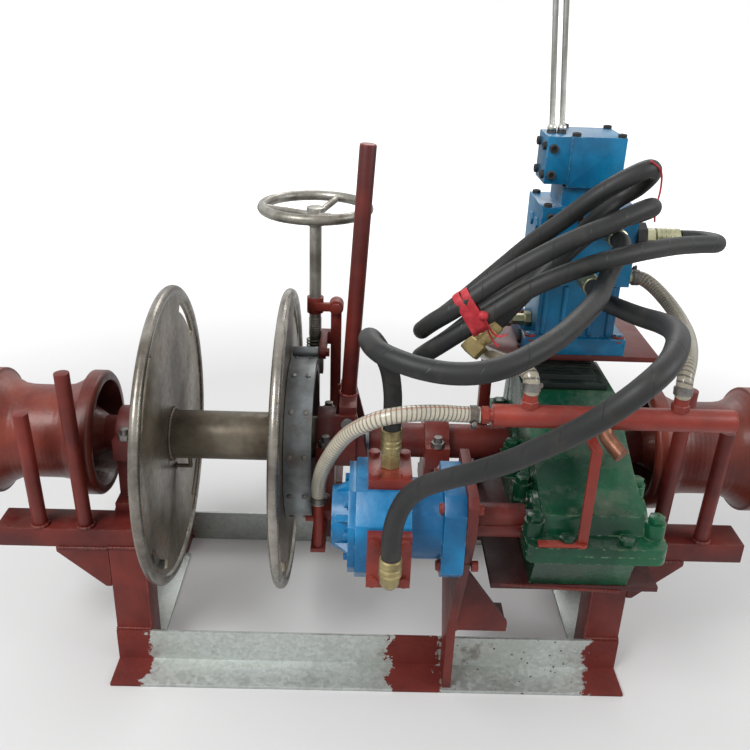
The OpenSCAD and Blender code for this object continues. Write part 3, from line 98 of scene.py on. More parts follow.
class Wire:
    """A value that travels along a link from one node to the next."""

    def __init__(self, finish, socket):
        self.finish, self.socket = finish, socket

    def maths(self, operation, first, second=0):
        return self.finish.node("Math", {"operation": operation}, {0: first, 1: second})

    def __add__(self, other):
        return self.maths("ADD", self, other)

    __radd__ = __add__

    def __sub__(self, other):
        return self.maths("SUBTRACT", self, other)

    def __rsub__(self, other):
        return self.maths("SUBTRACT", other, self)

    def __mul__(self, other):
        return self.maths("MULTIPLY", self, other)

    def fraction(self):
        return self.maths("FRACT", self)

    def kept(self):
        """The value, held between 0 and 1."""
        return self.maths("MINIMUM", self.maths("MAXIMUM", self, 0), 1)

    def above(self, edge, soft):
        """0 below the edge and 1 a little above it."""
        return ((self - edge) * (1 / soft)).kept()


class Finish:
    """A material, with a short word for each thing its nodes can do."""

    def __init__(self, name):
        self.material = bpy.data.materials.new(name)
        self.material.use_nodes = True
        self.tree = self.material.node_tree
        self.shader = self.tree.nodes["Principled BSDF"]
        self.shader.inputs["Specular IOR Level"].default_value = 0.35
        self.here = self.node("TexCoord", out="Object")

    def node(self, kind, settings=None, values=None, out=0):
        made = self.tree.nodes.new("ShaderNode" + kind)
        for key, value in (settings or {}).items():
            setattr(made, key, value)
        for key, value in (values or {}).items():
            if isinstance(value, Wire):
                self.tree.links.new(value.socket, made.inputs[key])
            else:
                made.inputs[key].default_value = value
        return Wire(self, made.outputs[out])

    def noise(self, scale, detail=4, rough=0.55, where=None):
        return self.node("TexNoise", values={"Vector": where or self.here, "Scale": scale,
            "Detail": detail, "Roughness": rough})

    def axis(self, letter, vector=None):
        return self.node("SeparateXYZ", values={0: vector or self.here}, out=letter)

    def blend(self, mask, first, second):
        """The first colour where the mask is 0, the second where it is 1."""
        first, second = (v if isinstance(v, Wire) else linear(v) for v in (first, second))
        return self.node("Mix", {"data_type": "RGBA"}, {0: mask, 6: first, 7: second}, out=2)

    def edges(self):
        """1 on sharp outer edges and in sharp corners, 0 on flat faces."""
        rounded = self.node("Bevel", {"samples": 4}, {"Radius": 2.5 * MM})
        flat = self.node("NewGeometry", out="Normal")
        same = self.node("VectorMath", {"operation": "DOT_PRODUCT"}, {0: rounded, 1: flat},
            out="Value")
        return ((1 - same) * 9).kept()

    def upward(self):
        """1 on faces that look up, where dust settles."""
        return self.axis("Z", self.node("NewGeometry", out="Normal")).above(0.3, 0.6)

    def hose_map(self):
        """How far round a hose, 0 to 1, and how far along it, in metres."""
        chart = self.node("UVMap", out="UV")
        return self.axis("X", chart), self.axis("Y", chart)

    def bump(self, height, strength, distance):
        values = {"Height": height, "Strength": strength, "Distance": distance}
        self.feed("Normal", self.node("Bump", values=values))

    def feed(self, name, value):
        if isinstance(value, Wire):
            self.tree.links.new(value.socket, self.shader.inputs[name])
        else:
            self.shader.inputs[name].default_value = value


def linear(colour):
    """Red, green and blue on a screen, 0 to 255, made linear for the shader."""
    return tuple((v / 255 / 12.92 if v < 11 else ((v / 255 + 0.055) / 1.055) ** 2.4)
                 for v in colour) + (1,)


print("shader words are ready")

# %% [markdown]
# ## Painted steel
# The frame is brushed with red oxide primer: dull, a little blotchy, with dust
# on what faces up and bare, rubbed metal along its edges. The gearbox, motor
# and valve share the recipe with other colours and more gloss. The gearbox's
# pale edges are partly wear and partly painted highlight.

# %% Paints


def paint(name, colour, deep, wear_and_highlight_colour, gloss=0.45, blotch=7, grain=260, dust=0.15, edge_wear_and_highlight=0.35,
        rings=None):
    finish = Finish(name)
    clouds = finish.noise(blotch, 5, 0.6).above(0.42, 0.25)
    skin = finish.blend(clouds, deep, colour)
    tall = finish.node("Mapping", values={"Vector": finish.here, "Scale": (1, 1, 0.12)})
    streaks = finish.noise(30, 3, 0.6, tall).above(0.55, 0.2)
    skin = finish.blend(streaks * 0.22, skin, deep)
    specks = finish.noise(95, 2, 0.7)
    settled = finish.upward() * finish.noise(18, 4, 0.7).above(0.45, 0.3) * dust
    skin = finish.blend(settled, skin, DUST)
    # Pale edges: rubbed wear, and on the gearbox also painted highlight.
    edge_wear_and_highlight_mask = (finish.edges() * specks.above(0.5, 0.12)) * edge_wear_and_highlight
    skin = finish.blend(edge_wear_and_highlight_mask.kept(), skin, wear_and_highlight_colour)
    finish.feed("Base Color", skin)
    finish.feed("Roughness", (gloss + finish.noise(40) * 0.22 + settled * 0.6).kept())
    height = finish.noise(grain, 3, 0.6) + finish.noise(45, 2, 0.5) * 1.6
    if rings:
        wave = finish.node("TexWave", {"wave_type": "BANDS", "bands_direction": "X"},
            {"Vector": finish.here, "Scale": rings, "Distortion": 0.6, "Detail": 2})
        height = height + wave * 0.35
    finish.bump(height, 0.35, 0.0006)
    return finish.material


DUST = (150, 140, 128)
OXIDE = (118, 42, 33)
OXIDE_DEEP = (76, 24, 21)
BARE = (128, 92, 78)
red_oxide = paint("red_oxide_paint", OXIDE, OXIDE_DEEP, BARE, gloss=0.34, edge_wear_and_highlight=0.45)
bright_oxide = paint("bright_red_paint", (150, 56, 43), (108, 36, 29), BARE, gloss=0.26, edge_wear_and_highlight=0.3)
# Painted shade: a darker copy of the red primer for parts that lie in shade.
shade_painted_oxide = paint("shaded_red_paint", (84, 26, 26), (56, 18, 20), (96, 66, 58), gloss=0.36)
turned_oxide = paint("turned_red_paint", (126, 54, 40), (78, 29, 25), (158, 118, 96), gloss=0.24,
    rings=46)
# Its pale yellow-green edges are partly wear and partly painted highlight.
gearbox_green = paint("gearbox_green_paint", (24, 98, 64), (8, 52, 35), (132, 158, 118), gloss=0.14,
    blotch=5, grain=150, dust=0.3, edge_wear_and_highlight=0.7)
# Painted shade: the top cover lies under the valve platform, so its green is drawn near black.
shade_painted_cover_green = paint("shade_painted_cover_paint", (16, 36, 28), (8, 20, 17), (52, 70, 58), gloss=0.36,
    dust=0.2)
motor_blue = paint("motor_blue_paint", (10, 134, 190), (4, 88, 134), (142, 172, 184), gloss=0.18,
    blotch=9, grain=170, dust=0.2, edge_wear_and_highlight=0.6)
valve_blue = paint("valve_blue_paint", (16, 132, 180), (8, 86, 124), (142, 172, 184), gloss=0.2,
    blotch=9, grain=200, dust=0.22, edge_wear_and_highlight=0.6)
print("paints:", len(bpy.data.materials))

# %% [markdown]
# ## Bare metals
# The drum is unpainted mill steel: grey-brown, cloudy and stained with rust. The
# base angles are galvanised, so they show flakes of zinc, and the frame's paint
# was splashed over them. The hose ends are zinc plated in yellow and gold.

# %% Metals


def metal(name, colour, deep, rough, blotch, metallic, spread=0.2, rust=0):
    finish = Finish(name)
    clouds = finish.noise(blotch, 6, 0.62).above(0.38, 0.3)
    skin = finish.blend(clouds, deep, colour)
    brushed = finish.noise(120, 2, 0.5)
    skin = finish.blend(brushed * 0.25, skin, deep)
    stains = finish.noise(16, 5, 0.7).above(0.56, 0.14) * rust
    skin = finish.blend(stains.kept(), skin, RUST)
    finish.feed("Base Color", skin)
    finish.feed("Metallic", (metallic - stains * 0.7).kept())
    finish.feed("Roughness",
        (rough + clouds * spread * -0.5 + brushed * spread + stains * 0.25).kept())
    finish.bump(brushed + finish.noise(60) * 0.7, 0.25, 0.0004)
    return finish.material


RUST = (104, 72, 48)
drum_steel = metal("drum_mill_steel", (150, 142, 126), (78, 68, 56), rough=0.32, spread=0.24,
    blotch=8, metallic=0.5, rust=0.8)
rim_steel = metal("rolled_rim_steel", (168, 164, 156), (98, 92, 84), rough=0.22, blotch=12,
    metallic=0.75, rust=0.3)
band_steel = metal("brake_band_steel", (158, 164, 168), (100, 102, 100), rough=0.32, blotch=14,
    metallic=0.55, rust=0.5)
brake_steel = metal("brake_drum_iron", (98, 96, 92), (62, 60, 58), rough=0.45, blotch=12,
    metallic=0.7, rust=0.4)
wheel_iron = metal("handwheel_iron", (180, 178, 170), (106, 102, 92), rough=0.3, blotch=26,
    metallic=0.65, rust=0.45)
spindle_steel = metal("spindle_steel", (176, 174, 164), (112, 108, 98), rough=0.32, blotch=20,
    metallic=0.6, rust=0.3)
bolt_steel = metal("bolt_steel", (150, 148, 144), (96, 92, 88), rough=0.36, blotch=40,
    metallic=0.85, rust=0.35)
gear_steel = metal("gear_steel", (150, 152, 154), (108, 110, 112), rough=0.3, blotch=20,
    metallic=0.9)
yellow_zinc = metal("yellow_zinc_plate", (178, 164, 116), (118, 106, 74), rough=0.32, spread=0.18,
    blotch=35, metallic=0.55)
gold_zinc = metal("gold_zinc_plate", (214, 196, 142), (168, 146, 94), rough=0.28, spread=0.16,
    blotch=40, metallic=0.55)
pale_zinc = metal("pale_zinc_plate", (196, 194, 160), (150, 148, 118), rough=0.28, spread=0.16,
    blotch=40, metallic=0.85)
lever_steel = metal("polished_lever_steel", (206, 206, 200), (170, 170, 164), rough=0.16,
    spread=0.1, blotch=30, metallic=0.95)
bronze = metal("bush_bronze", (182, 138, 74), (140, 100, 52), rough=0.34, spread=0.16, blotch=30,
    metallic=0.9)
copper = metal("copper_pipe", (158, 112, 88), (104, 66, 50), rough=0.36, spread=0.16, blotch=60,
    metallic=0.5, rust=0.3)


def galvanised_steel(name, painted_feet=False):
    """Zinc; with painted feet, the paint that ran down at the posts and the bracket too."""
    finish = Finish(name)
    flakes = finish.node("TexVoronoi", {"feature": "F1"}, {"Vector": finish.here, "Scale": 210},
        out="Color")
    flake = finish.axis("X", flakes)
    skin = finish.blend(flake * 0.6, (172, 177, 173), (204, 209, 206))
    clouds = finish.noise(7, 5, 0.6).above(0.45, 0.3)
    skin = finish.blend(clouds * 0.5, skin, (144, 147, 138))
    splash = finish.noise(9, 6, 0.65).above(0.63, 0.05) * 0.6
    skin = finish.blend(splash, skin, (96, 76, 66))
    if painted_feet:
        sideways, behind = finish.axis("X"), finish.axis("Y")
        torn = finish.noise(24, 6, 0.7) - 0.5
        off_middle = sideways.maths("ABSOLUTE", sideways)
        at_posts = (off_middle + torn * 0.09).above(POST_SIDE, 0.003)
        aside = sideways - BRACKET_X
        near = 1 - aside * aside * 420 - behind.above(0, 0.01) * 4
        at_bracket = (near + torn * 3.2).above(0.45, 0.03)
        cells = finish.node("TexVoronoi", {"feature": "F1"}, {"Vector": finish.here, "Scale": 105},
            out="Distance")
        drops = (0.62 - cells * 1.5 + torn * 1.1).above(0.42, 0.03)
        drops = drops * (sideways + torn * 0.4).above(0.06, 0.05)
        skin = finish.blend(drops * 0.85, skin, (58, 40, 36))
        paint_mask = (at_posts + at_bracket).kept()
        skin = finish.blend(paint_mask, skin, finish.blend(finish.noise(30), OXIDE_DEEP, OXIDE))
        splash = (splash + paint_mask + drops * 0.8).kept()
    finish.feed("Base Color", skin)
    finish.feed("Metallic", (0.62 - splash * 0.6).kept())
    finish.feed("Roughness", (0.38 + flake * 0.16 + splash * 0.3).kept())
    finish.bump(finish.noise(120) + flake * 0.3, 0.15, 0.0004)
    return finish.material


POST_SIDE = 0.318
BRACKET_X = 0.066
galvanised = galvanised_steel("galvanised_steel")
splashed_zinc = galvanised_steel("splashed_galvanised_steel", painted_feet=True)
print("metals:", len(bpy.data.materials))

# %% [markdown]
# ## Rubber, clear hose, tape and lining
# The pressure hoses are wrapped in cloth while they cure, so a fine spiral
# edge runs round them. The clear water hose has a spring of wire in its wall.
# Both patterns follow the hose, so they read the hose's own map.

# %% Finishes that follow a hose


def hose_rubber():
    finish = Finish("wrapped_hose_rubber")
    across, run = finish.hose_map()
    lap = (run * 22 + across).fraction()
    seam = (1 - (lap * 26).kept()) * 0.9
    scuffs = finish.noise(32, 5, 0.65).above(0.55, 0.25)
    skin = finish.blend(finish.noise(9, 4).above(0.4, 0.3), (27, 28, 28), (42, 43, 42))
    skin = finish.blend(scuffs * 0.4, skin, (84, 78, 66))
    skin = finish.blend(seam * 0.6, skin, (18, 19, 20))
    finish.feed("Base Color", skin)
    finish.feed("Roughness", (0.5 + scuffs * 0.24 - seam * 0.1).kept())
    cloth = finish.noise(700, 2, 0.6)
    finish.bump(cloth * 0.5 + finish.noise(60) * 0.8 - seam * 1.4, 0.5, 0.0006)
    return finish.material


def clear_hose(name, tube, ring):
    finish = Finish(name)
    across, run = finish.hose_map()
    lap = (run * 190 + across).fraction()
    wire = 1 - ((lap - 0.5) * (lap - 0.5) * 26).kept()
    line = 1 - ((across - 0.32) * (across - 0.32) * 2600).kept()
    skin = finish.blend(wire, tube, ring)
    grime = finish.noise(26, 4, 0.7).above(0.5, 0.25)
    skin = finish.blend(grime * 0.4, skin, (120, 108, 88))
    skin = finish.blend(line * 0.6, skin, (176, 84, 66))
    finish.feed("Base Color", skin)
    finish.feed("Roughness", (0.22 + wire * 0.12).kept())
    finish.bump(wire + finish.noise(80) * 0.3, 0.6, 0.0007)
    finish.feed("Coat Weight", 0.4)
    finish.feed("Transmission Weight", 0.12)
    return finish.material


def plain(name, colour, deep, rough, blotch, bumpy, grain=300):
    finish = Finish(name)
    clouds = finish.noise(blotch, 4).above(0.4, 0.3)
    finish.feed("Base Color", finish.blend(clouds, deep, colour))
    finish.feed("Roughness", (rough + finish.noise(60) * 0.15).kept())
    finish.bump(finish.noise(grain) + finish.noise(50), bumpy, 0.0005)
    return finish.material


rubber = hose_rubber()
clear_tube = clear_hose("clear_spring_hose", (206, 199, 180), (118, 112, 100))
soiled_tube = clear_hose("soiled_spring_hose", (160, 152, 134), (82, 78, 72))
red_tape = plain("red_tie_tape", (206, 66, 72), (158, 34, 44), rough=0.45, blotch=40, bumpy=0.5)
lining_fibre = plain("brake_lining_fibre", (96, 82, 66), (66, 56, 46), rough=0.75, blotch=60,
    bumpy=0.6,
    grain=500)
black_iron = plain("black_screw_iron", (58, 58, 58), (34, 34, 34), rough=0.45, blotch=80, bumpy=0.3)
print("all finishes:", len(bpy.data.materials))

# %% [markdown]
# ## Tools for making pieces
# Screws, nuts and blocks start as a primitive and are shaped in edit mode. Hoses,
# beads and tape are tubes laid along a path. A few short helpers keep that tidy,
# and the last word on each piece gives it its body and its finish.

# %% Helpers for pieces
record = frame["record"]
node_body = {node: body for body, nodes in record["behaviour"]["bodies"].items() for node in nodes}


def clear():
    if bpy.context.object and bpy.context.object.mode != "OBJECT":
        bpy.ops.object.mode_set(mode="OBJECT")
    bpy.ops.object.select_all(action="DESELECT")


def alone(piece):
    """Select one piece and nothing else."""
    clear()
    piece.select_set(True)
    bpy.context.view_layer.objects.active = piece


def applied():
    bpy.ops.object.transform_apply(location=True, rotation=True, scale=True)


def edit_all():
    bpy.ops.object.mode_set(mode="EDIT")
    bpy.ops.mesh.select_all(action="SELECT")


def rounded_edges(offset, segments):
    """Bevel every edge of the active piece; the offset is in millimetres."""
    edit_all()
    bpy.ops.mesh.bevel(offset=offset * MM, segments=segments, affect="EDGES")
    bpy.ops.object.mode_set(mode="OBJECT")


def finished(piece, name, material, body="frame", angle=35):
    """Smooth a piece where it bends by less than the angle, and say what it is."""
    alone(piece)
    applied()
    bpy.ops.object.shade_smooth_by_angle(angle=radians(angle))
    piece.name = piece.data.name = name
    piece.data.materials.clear()
    piece.data.materials.append(material)
    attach(piece, body)
    return piece


def turned(start, toward, steps, sides=32):
    """A turned shape: steps are pairs of distance from start and radius, in millimetres."""
    start, toward = Vector(start), Vector(toward).normalized()
    clear()
    lean = Vector(UP).rotation_difference(toward).to_euler()
    bpy.ops.mesh.primitive_circle_add(vertices=sides, radius=steps[0][1] * MM, fill_type="NGON",
        location=start + toward * steps[0][0] * MM, rotation=lean)
    piece = bpy.context.object
    applied()
    edit_all()
    for (was, old), (now, new) in zip(steps, steps[1:]):
        step = toward * (now - was) * MM
        bpy.ops.mesh.extrude_region_move(TRANSFORM_OT_translate={"value": step})
        k = new / old
        bpy.ops.transform.resize(value=(k, k, k), center_override=start + toward * now * MM)
    bpy.ops.mesh.select_all(action="SELECT")
    bpy.ops.mesh.normals_make_consistent(inside=False)
    bpy.ops.object.mode_set(mode="OBJECT")
    return piece


def block(middle, size, offset, segments):
    """A box with rounded edges; its size and the offset are in millimetres."""
    clear()
    bpy.ops.mesh.primitive_cube_add(size=1, location=middle)
    piece = bpy.context.object
    piece.scale = [length * MM for length in size]
    applied()
    rounded_edges(offset, segments)
    return piece


def joined(pieces):
    clear()
    for p in pieces:
        p.select_set(True)
    bpy.context.view_layer.objects.active = pieces[0]
    if len(pieces) > 1:
        bpy.ops.object.join()
    return pieces[0]


def stamped(master, places):
    """Copies of one piece, made at the origin facing +Z, set at places with their directions."""
    made = []
    for place, toward in places:
        copy = placed(master.name, master.data.copy())
        turn = Vector(UP).rotation_difference(Vector(toward).normalized()).to_matrix().to_4x4()
        copy.data.transform(Matrix.Translation(place) @ turn)
        made.append(copy)
    bpy.data.objects.remove(master)
    return joined(made)


def hex_screw(size, washer=True):
    """A hexagon head and its washer; size is the bolt's diameter in millimetres."""
    seat = size * 0.2 if washer else 0
    clear()
    bpy.ops.mesh.primitive_cylinder_add(vertices=6, radius=size * 0.88 * MM, depth=size * 0.62 * MM,
        location=(0, 0, (seat + size * 0.31) * MM))
    parts = [bpy.context.object]
    rounded_edges(size * 0.07, 2)
    if washer:
        parts.append(turned((0, 0, 0), UP, [(0, size), (size * 0.14, size),
            (size * 0.2, size * 0.92)]))
    return joined(parts)


def socket_screw(size):
    """A round screw head with a recess in its top; size is its height in millimetres."""
    wide = size * 0.75
    clear()
    bpy.ops.mesh.primitive_cylinder_add(vertices=24, radius=wide * MM, depth=size * MM,
        location=(0, 0, size / 2 * MM))
    head = bpy.context.object
    bpy.ops.object.mode_set(mode="EDIT")
    bpy.ops.mesh.select_all(action="DESELECT")
    bpy.ops.object.mode_set(mode="OBJECT")
    for face in head.data.polygons:
        face.select = face.normal.z > 0.9
    bpy.ops.object.mode_set(mode="EDIT")
    bpy.ops.mesh.select_mode(type="FACE")
    bpy.ops.mesh.inset(thickness=wide * 0.12 * MM)
    bpy.ops.transform.translate(value=(0, 0, wide * 0.1 * MM))
    bpy.ops.mesh.inset(thickness=wide * 0.3 * MM)
    bpy.ops.mesh.extrude_region_move(TRANSFORM_OT_translate={"value": (0, 0, -size * 0.5 * MM)})
    bpy.ops.object.mode_set(mode="OBJECT")
    return head


def swept(path, radius, sides=16, flat=1, up=None):
    """A tube along a path in metres, with its own map: round in X, run in metres in Y.
    The radius may be a list with one for each point. flat squeezes the section
    into a ribbon, and up says which way the ribbon's edge looks."""
    points = [Vector(p) for p in path]
    count = len(points)
    radii = radius if isinstance(radius, (list, tuple)) else [radius] * count
    mesh = bpy.data.meshes.new("tube")
    verts, faces, run = [], [], [0]
    for a, b in zip(points, points[1:]):
        run.append(run[-1] + (b - a).length)
    across = None
    for i, p in enumerate(points):
        heading = (points[min(i + 1, count - 1)] - points[max(i - 1, 0)]).normalized()
        if across is None:
            across = Vector(up).cross(heading) if up else heading.orthogonal()
        across = (across - heading * across.dot(heading)).normalized()
        if up:
            across = Vector(up).cross(heading).normalized()
        other = heading.cross(across)
        for k in range(sides):
            a = 2 * pi * k / sides
            verts.append(p + (across * cos(a) * flat + other * sin(a)) * radii[i])
    for i in range(count - 1):
        for k in range(sides):
            a, b = i * sides + k, i * sides + (k + 1) % sides
            faces.append((a, b, b + sides, a + sides))
    faces.append(tuple(reversed(range(sides))))
    faces.append(tuple(range((count - 1) * sides, count * sides)))
    mesh.from_pydata(verts, [], faces)
    chart = mesh.uv_layers.new(name="UVMap")
    for f in mesh.polygons:
        for corner, v in zip(f.loop_indices, f.vertices):
            ring, k = divmod(v, sides)
            wraps = len(f.vertices) == 4 and k == 0 and f.index % sides == sides - 1
            chart.data[corner].uv = ((k / sides) + (1 if wraps else 0), run[ring])
    return placed("tube", mesh)


def smooth_path(run, steps):
    """A smooth curve through places in millimetres, so that a hose bends evenly."""
    points = [spot(*p) for p in run]
    path = []
    n = len(points)
    for i in range(n - 1):
        a, b = points[max(i - 1, 0)], points[i]
        c, d = points[i + 1], points[min(i + 2, n - 1)]
        for s in range(steps):
            t = s / steps
            path.append(0.5 * ((2 * b) + (c - a) * t + (2 * a - 5 * b + 4 * c - d) * t ** 2
                + (3 * b - a - 3 * c + d) * t ** 3))
    path.append(points[-1].copy())
    return path


def length_of(path):
    return sum((b - a).length for a, b in zip(path, path[1:]))


print("helpers are ready")

# %% [markdown]
# ## The hoses
# A hose is a fixed length of something stiff that springs back, so each one is
# a smooth curve through points along its real run, given in millimetres. They
# come first, because so much of the machine's outline hangs on them.

# %% Lay the hoses
runs = {
    "front_motor_hose": [
        (16, -322, 350), (16, -322, 374), (19, -323, 400), (28, -328, 428), (44, -339, 452),
        (66, -355, 472), (94, -376, 495), (120, -398, 520), (146, -418, 548), (170, -436, 575),
        (192, -447, 600), (214, -448, 622), (238, -430, 636), (258, -392, 641),
        (272, -342, 634), (280, -286, 620), (280, -226, 604), (276, -166, 591),
        (271, -116, 582), (271, -86, 580), (271, -56, 580)],
    "top_motor_hose": [
        (16, -200, 446), (16, -200, 468), (15, -200, 494), (10, -204, 524), (0, -220, 552),
        (-10, -248, 577), (-15, -282, 593), (-13, -314, 600), (-4, -340, 602), (12, -356, 601),
        (34, -368, 599), (60, -375, 598), (88, -376, 600), (116, -368, 605), (144, -350, 612),
        (172, -322, 618), (198, -284, 622), (222, -240, 622), (240, -196, 616),
        (256, -150, 611), (274, -108, 618), (292, -78, 634), (298, -60, 640), (298, -44, 640)],
    "long_supply_hose": [
        (395, 14, 629), (401, 14, 629), (421, 5, 631), (431, -18, 634), (422, -44, 638),
        (396, -62, 642), (362, -82, 645), (328, -106, 647), (290, -128, 646), (250, -142, 639),
        (208, -148, 625), (170, -150, 606), (134, -152, 581), (92, -148, 548), (64, -135, 521),
        (52, -102, 497), (64, -70, 492), (92, -57, 507), (134, -50, 542), (176, -45, 572),
        (220, -40, 604), (252, -35, 634), (282, -34, 660), (304, -48, 670), (320, -72, 685),
        (314, -98, 695), (292, -115, 692), (258, -130, 680), (220, -140, 666), (179, -146, 645),
        (136, -144, 616), (92, -146, 582), (64, -133, 557), (52, -102, 533), (64, -70, 528),
        (92, -48, 542), (122, -42, 568), (153, -42, 598), (186, -56, 636), (218, -74, 670),
        (252, -90, 706), (288, -92, 730), (309, -85, 737), (318, -67, 727), (309, -50, 707),
        (288, -44, 690), (264, -60, 673), (240, -73, 650), (216, -80, 625), (194, -84, 600),
        (175, -88, 576), (159, -92, 559), (148, -94, 546), (138, -96, 534)],
    "left_water_hose": [
        (117, -216, 475), (100, -216, 475), (60, -228, 482), (20, -236, 482), (-10, -230, 469),
        (-40, -204, 434), (-64, -172, 378), (-73, -142, 332), (-74, -132, 308),
        (-74, -132, 294)],
    "middle_water_hose": [
        (172, -216, 506), (172, -216, 512), (170, -209, 524), (160, -186, 526),
        (148, -140, 512), (138, -84, 497), (132, -36, 486), (134, 8, 482), (150, 36, 488),
        (172, 44, 497), (184, 45, 497), (190, 45, 497)],
    "right_water_hose": [
        (346, -216, 506), (346, -216, 512), (348, -209, 526), (358, -186, 536),
        (374, -140, 538), (384, -90, 541), (383, -40, 550), (372, -4, 562), (358, 11, 571),
        (346, 14, 573), (340, 14, 573)],
}
HOSE = 22
WATER = 19


def lay_hose(name, wide, material, node, steps=4):
    path = smooth_path(runs[name], steps)
    piece = swept(path, wide / 2 * MM, 20)
    finished(piece, name, material, angle=60)
    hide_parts(node)
    print(name, "runs", round(length_of(path), 3), "m")
    return piece, path


motor_hoses = [lay_hose(name, HOSE, rubber, "motor_hoses")
    for name in ("front_motor_hose", "top_motor_hose")]
supply_hose, supply_path = lay_hose("long_supply_hose", HOSE, rubber, "supply_hose")
water_hoses = [lay_hose(name, WATER, tube, "water_hoses", 6) for name, tube in (
    ("left_water_hose", clear_tube), ("middle_water_hose", soiled_tube),
    ("right_water_hose", soiled_tube))]

# %% [markdown]
# The long supply hose waits for its pump. Its end carries a gold zinc nut, and
# its hank is held together by three turns of red tape with a knot.

# %% The nut and the tape of the supply hose
tail = supply_path[-1]
way = (supply_path[-1] - supply_path[-2]).normalized()
sleeve = turned(tail - way * 0.012, way, [(0, 11.6), (2, 12.3), (8, 12.3), (9, 11.7), (10, 12.3),
    (16, 12.3), (17, 11.7), (18, 12.3), (26, 12.3), (29, 10.4), (32, 10.2)])
nut = turned(tail + way * 0.020, way, [(0, 12.8), (1.4, 14.2), (18.4, 14.2), (20, 12.8)], 6)
mouth = turned(tail + way * 0.0385, way, [(0, 10.5), (1.4, 10.5), (1.4, 8.4), (0.4, 8.2)])
supply_end = finished(joined([sleeve, nut, mouth]), "supply_hose_nut", gold_zinc,
    angle=30)
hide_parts("supply_nut")


def tape_turn(low, high, run, reach, slide, tilt):
    """One turn of tape round two strands that lie side by side."""
    gap = high - low
    run = run.normalized()
    upward = (gap - run * gap.dot(run)).normalized()
    outward = run.cross(upward)
    half = abs(gap.dot(upward)) / 2
    middle = low + upward * half + run * slide
    steps = 40
    path = []
    for k in range(steps + 1):
        a = 2 * pi * k / steps
        push = upward * (sin(a) * reach + half * max(-1, min(1, sin(a) * 2.2)))
        path.append(middle + push + outward * cos(a) * reach + run * tilt * sin(a + 0.6))
    return path


supply_run = runs["long_supply_hose"]
low = (spot(*supply_run[12]) + spot(*supply_run[13])) / 2
high = (spot(*supply_run[30]) + spot(*supply_run[31])) / 2
strand = spot(*supply_run[12]) - spot(*supply_run[13])
tape = []
for slide, tilt, reach in ((-0.006, 0.003, 0.0133), (0.000, -0.003, 0.0141),
        (0.006, 0.002, 0.0135)):
    turn = tape_turn(low, high, strand, reach, slide, tilt)
    tape.append(swept(turn, 0.0048, 8, 0.14, up=strand.normalized()))
knot_at = (low + high) / 2 + Vector((0.004, -0.0165, -0.003))
tape.append(turned(knot_at - Vector((0.006, 0, 0)), (1, -0.1, -0.2),
    [(0, 2.2), (2, 5), (6, 5.8), (10, 4.8), (12, 2)], 12))
for tip, sag in (((0.028, -0.010, -0.020), -0.012), ((0.020, -0.014, -0.034), -0.008)):
    ends = [knot_at + Vector(tip) * (k / 10) + Vector((0, 0, sag * sin(pi * k / 10)))
            for k in range(11)]
    tape.append(swept(ends, [0.0045 - 0.0002 * k for k in range(11)], 8, 0.16, up=(0.2, 1, 0.1)))
supply_tie = finished(joined(tape), "red_tape_tie", red_tape, angle=50)
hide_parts("hose_tie")

string_run = [(305, -96, 748), (320, -92, 736), (326, -84, 714), (322, -90, 690), (320, -100, 678)]
string = swept(smooth_path(string_run, 6), 0.0012, 6)
red_string = finished(string, "red_string", red_tape)

for hose, path in motor_hoses:
    length_of(path)
length_of(supply_path)
for hose, path in water_hoses:
    length_of(path)

# %% [markdown]
# ## The solids get their skins
# A machined or cast edge is never perfectly sharp: it catches a thin line of
# light. Each solid is copied, its triangles are merged, its edges are eased by
# a small bevel, and the copy is shown in the solid's place.

# %% Skins for the solids


def skin(node, material, edge):
    """A copy of a solid with merged triangles and eased edges; edge is in millimetres."""
    copy = placed(node + "_skin", frame["nodes"][node].data.copy())
    alone(copy)
    bpy.ops.mesh.customdata_custom_splitnormals_clear()
    edit_all()
    bpy.ops.mesh.remove_doubles(threshold=0.02 * MM)
    bpy.ops.mesh.dissolve_limited(angle_limit=radians(0.5))
    bpy.ops.object.mode_set(mode="OBJECT")
    if edge:
        ease = copy.modifiers.new("eased edges", "BEVEL")
        ease.width = edge * MM
        ease.segments = 2
        ease.limit_method = "ANGLE"
        ease.angle_limit = radians(33)
        ease.use_clamp_overlap = True
        bpy.ops.object.modifier_apply(modifier=ease.name)
    finished(copy, node + "_skin", material, node_body[node])
    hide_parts(node)
    return copy


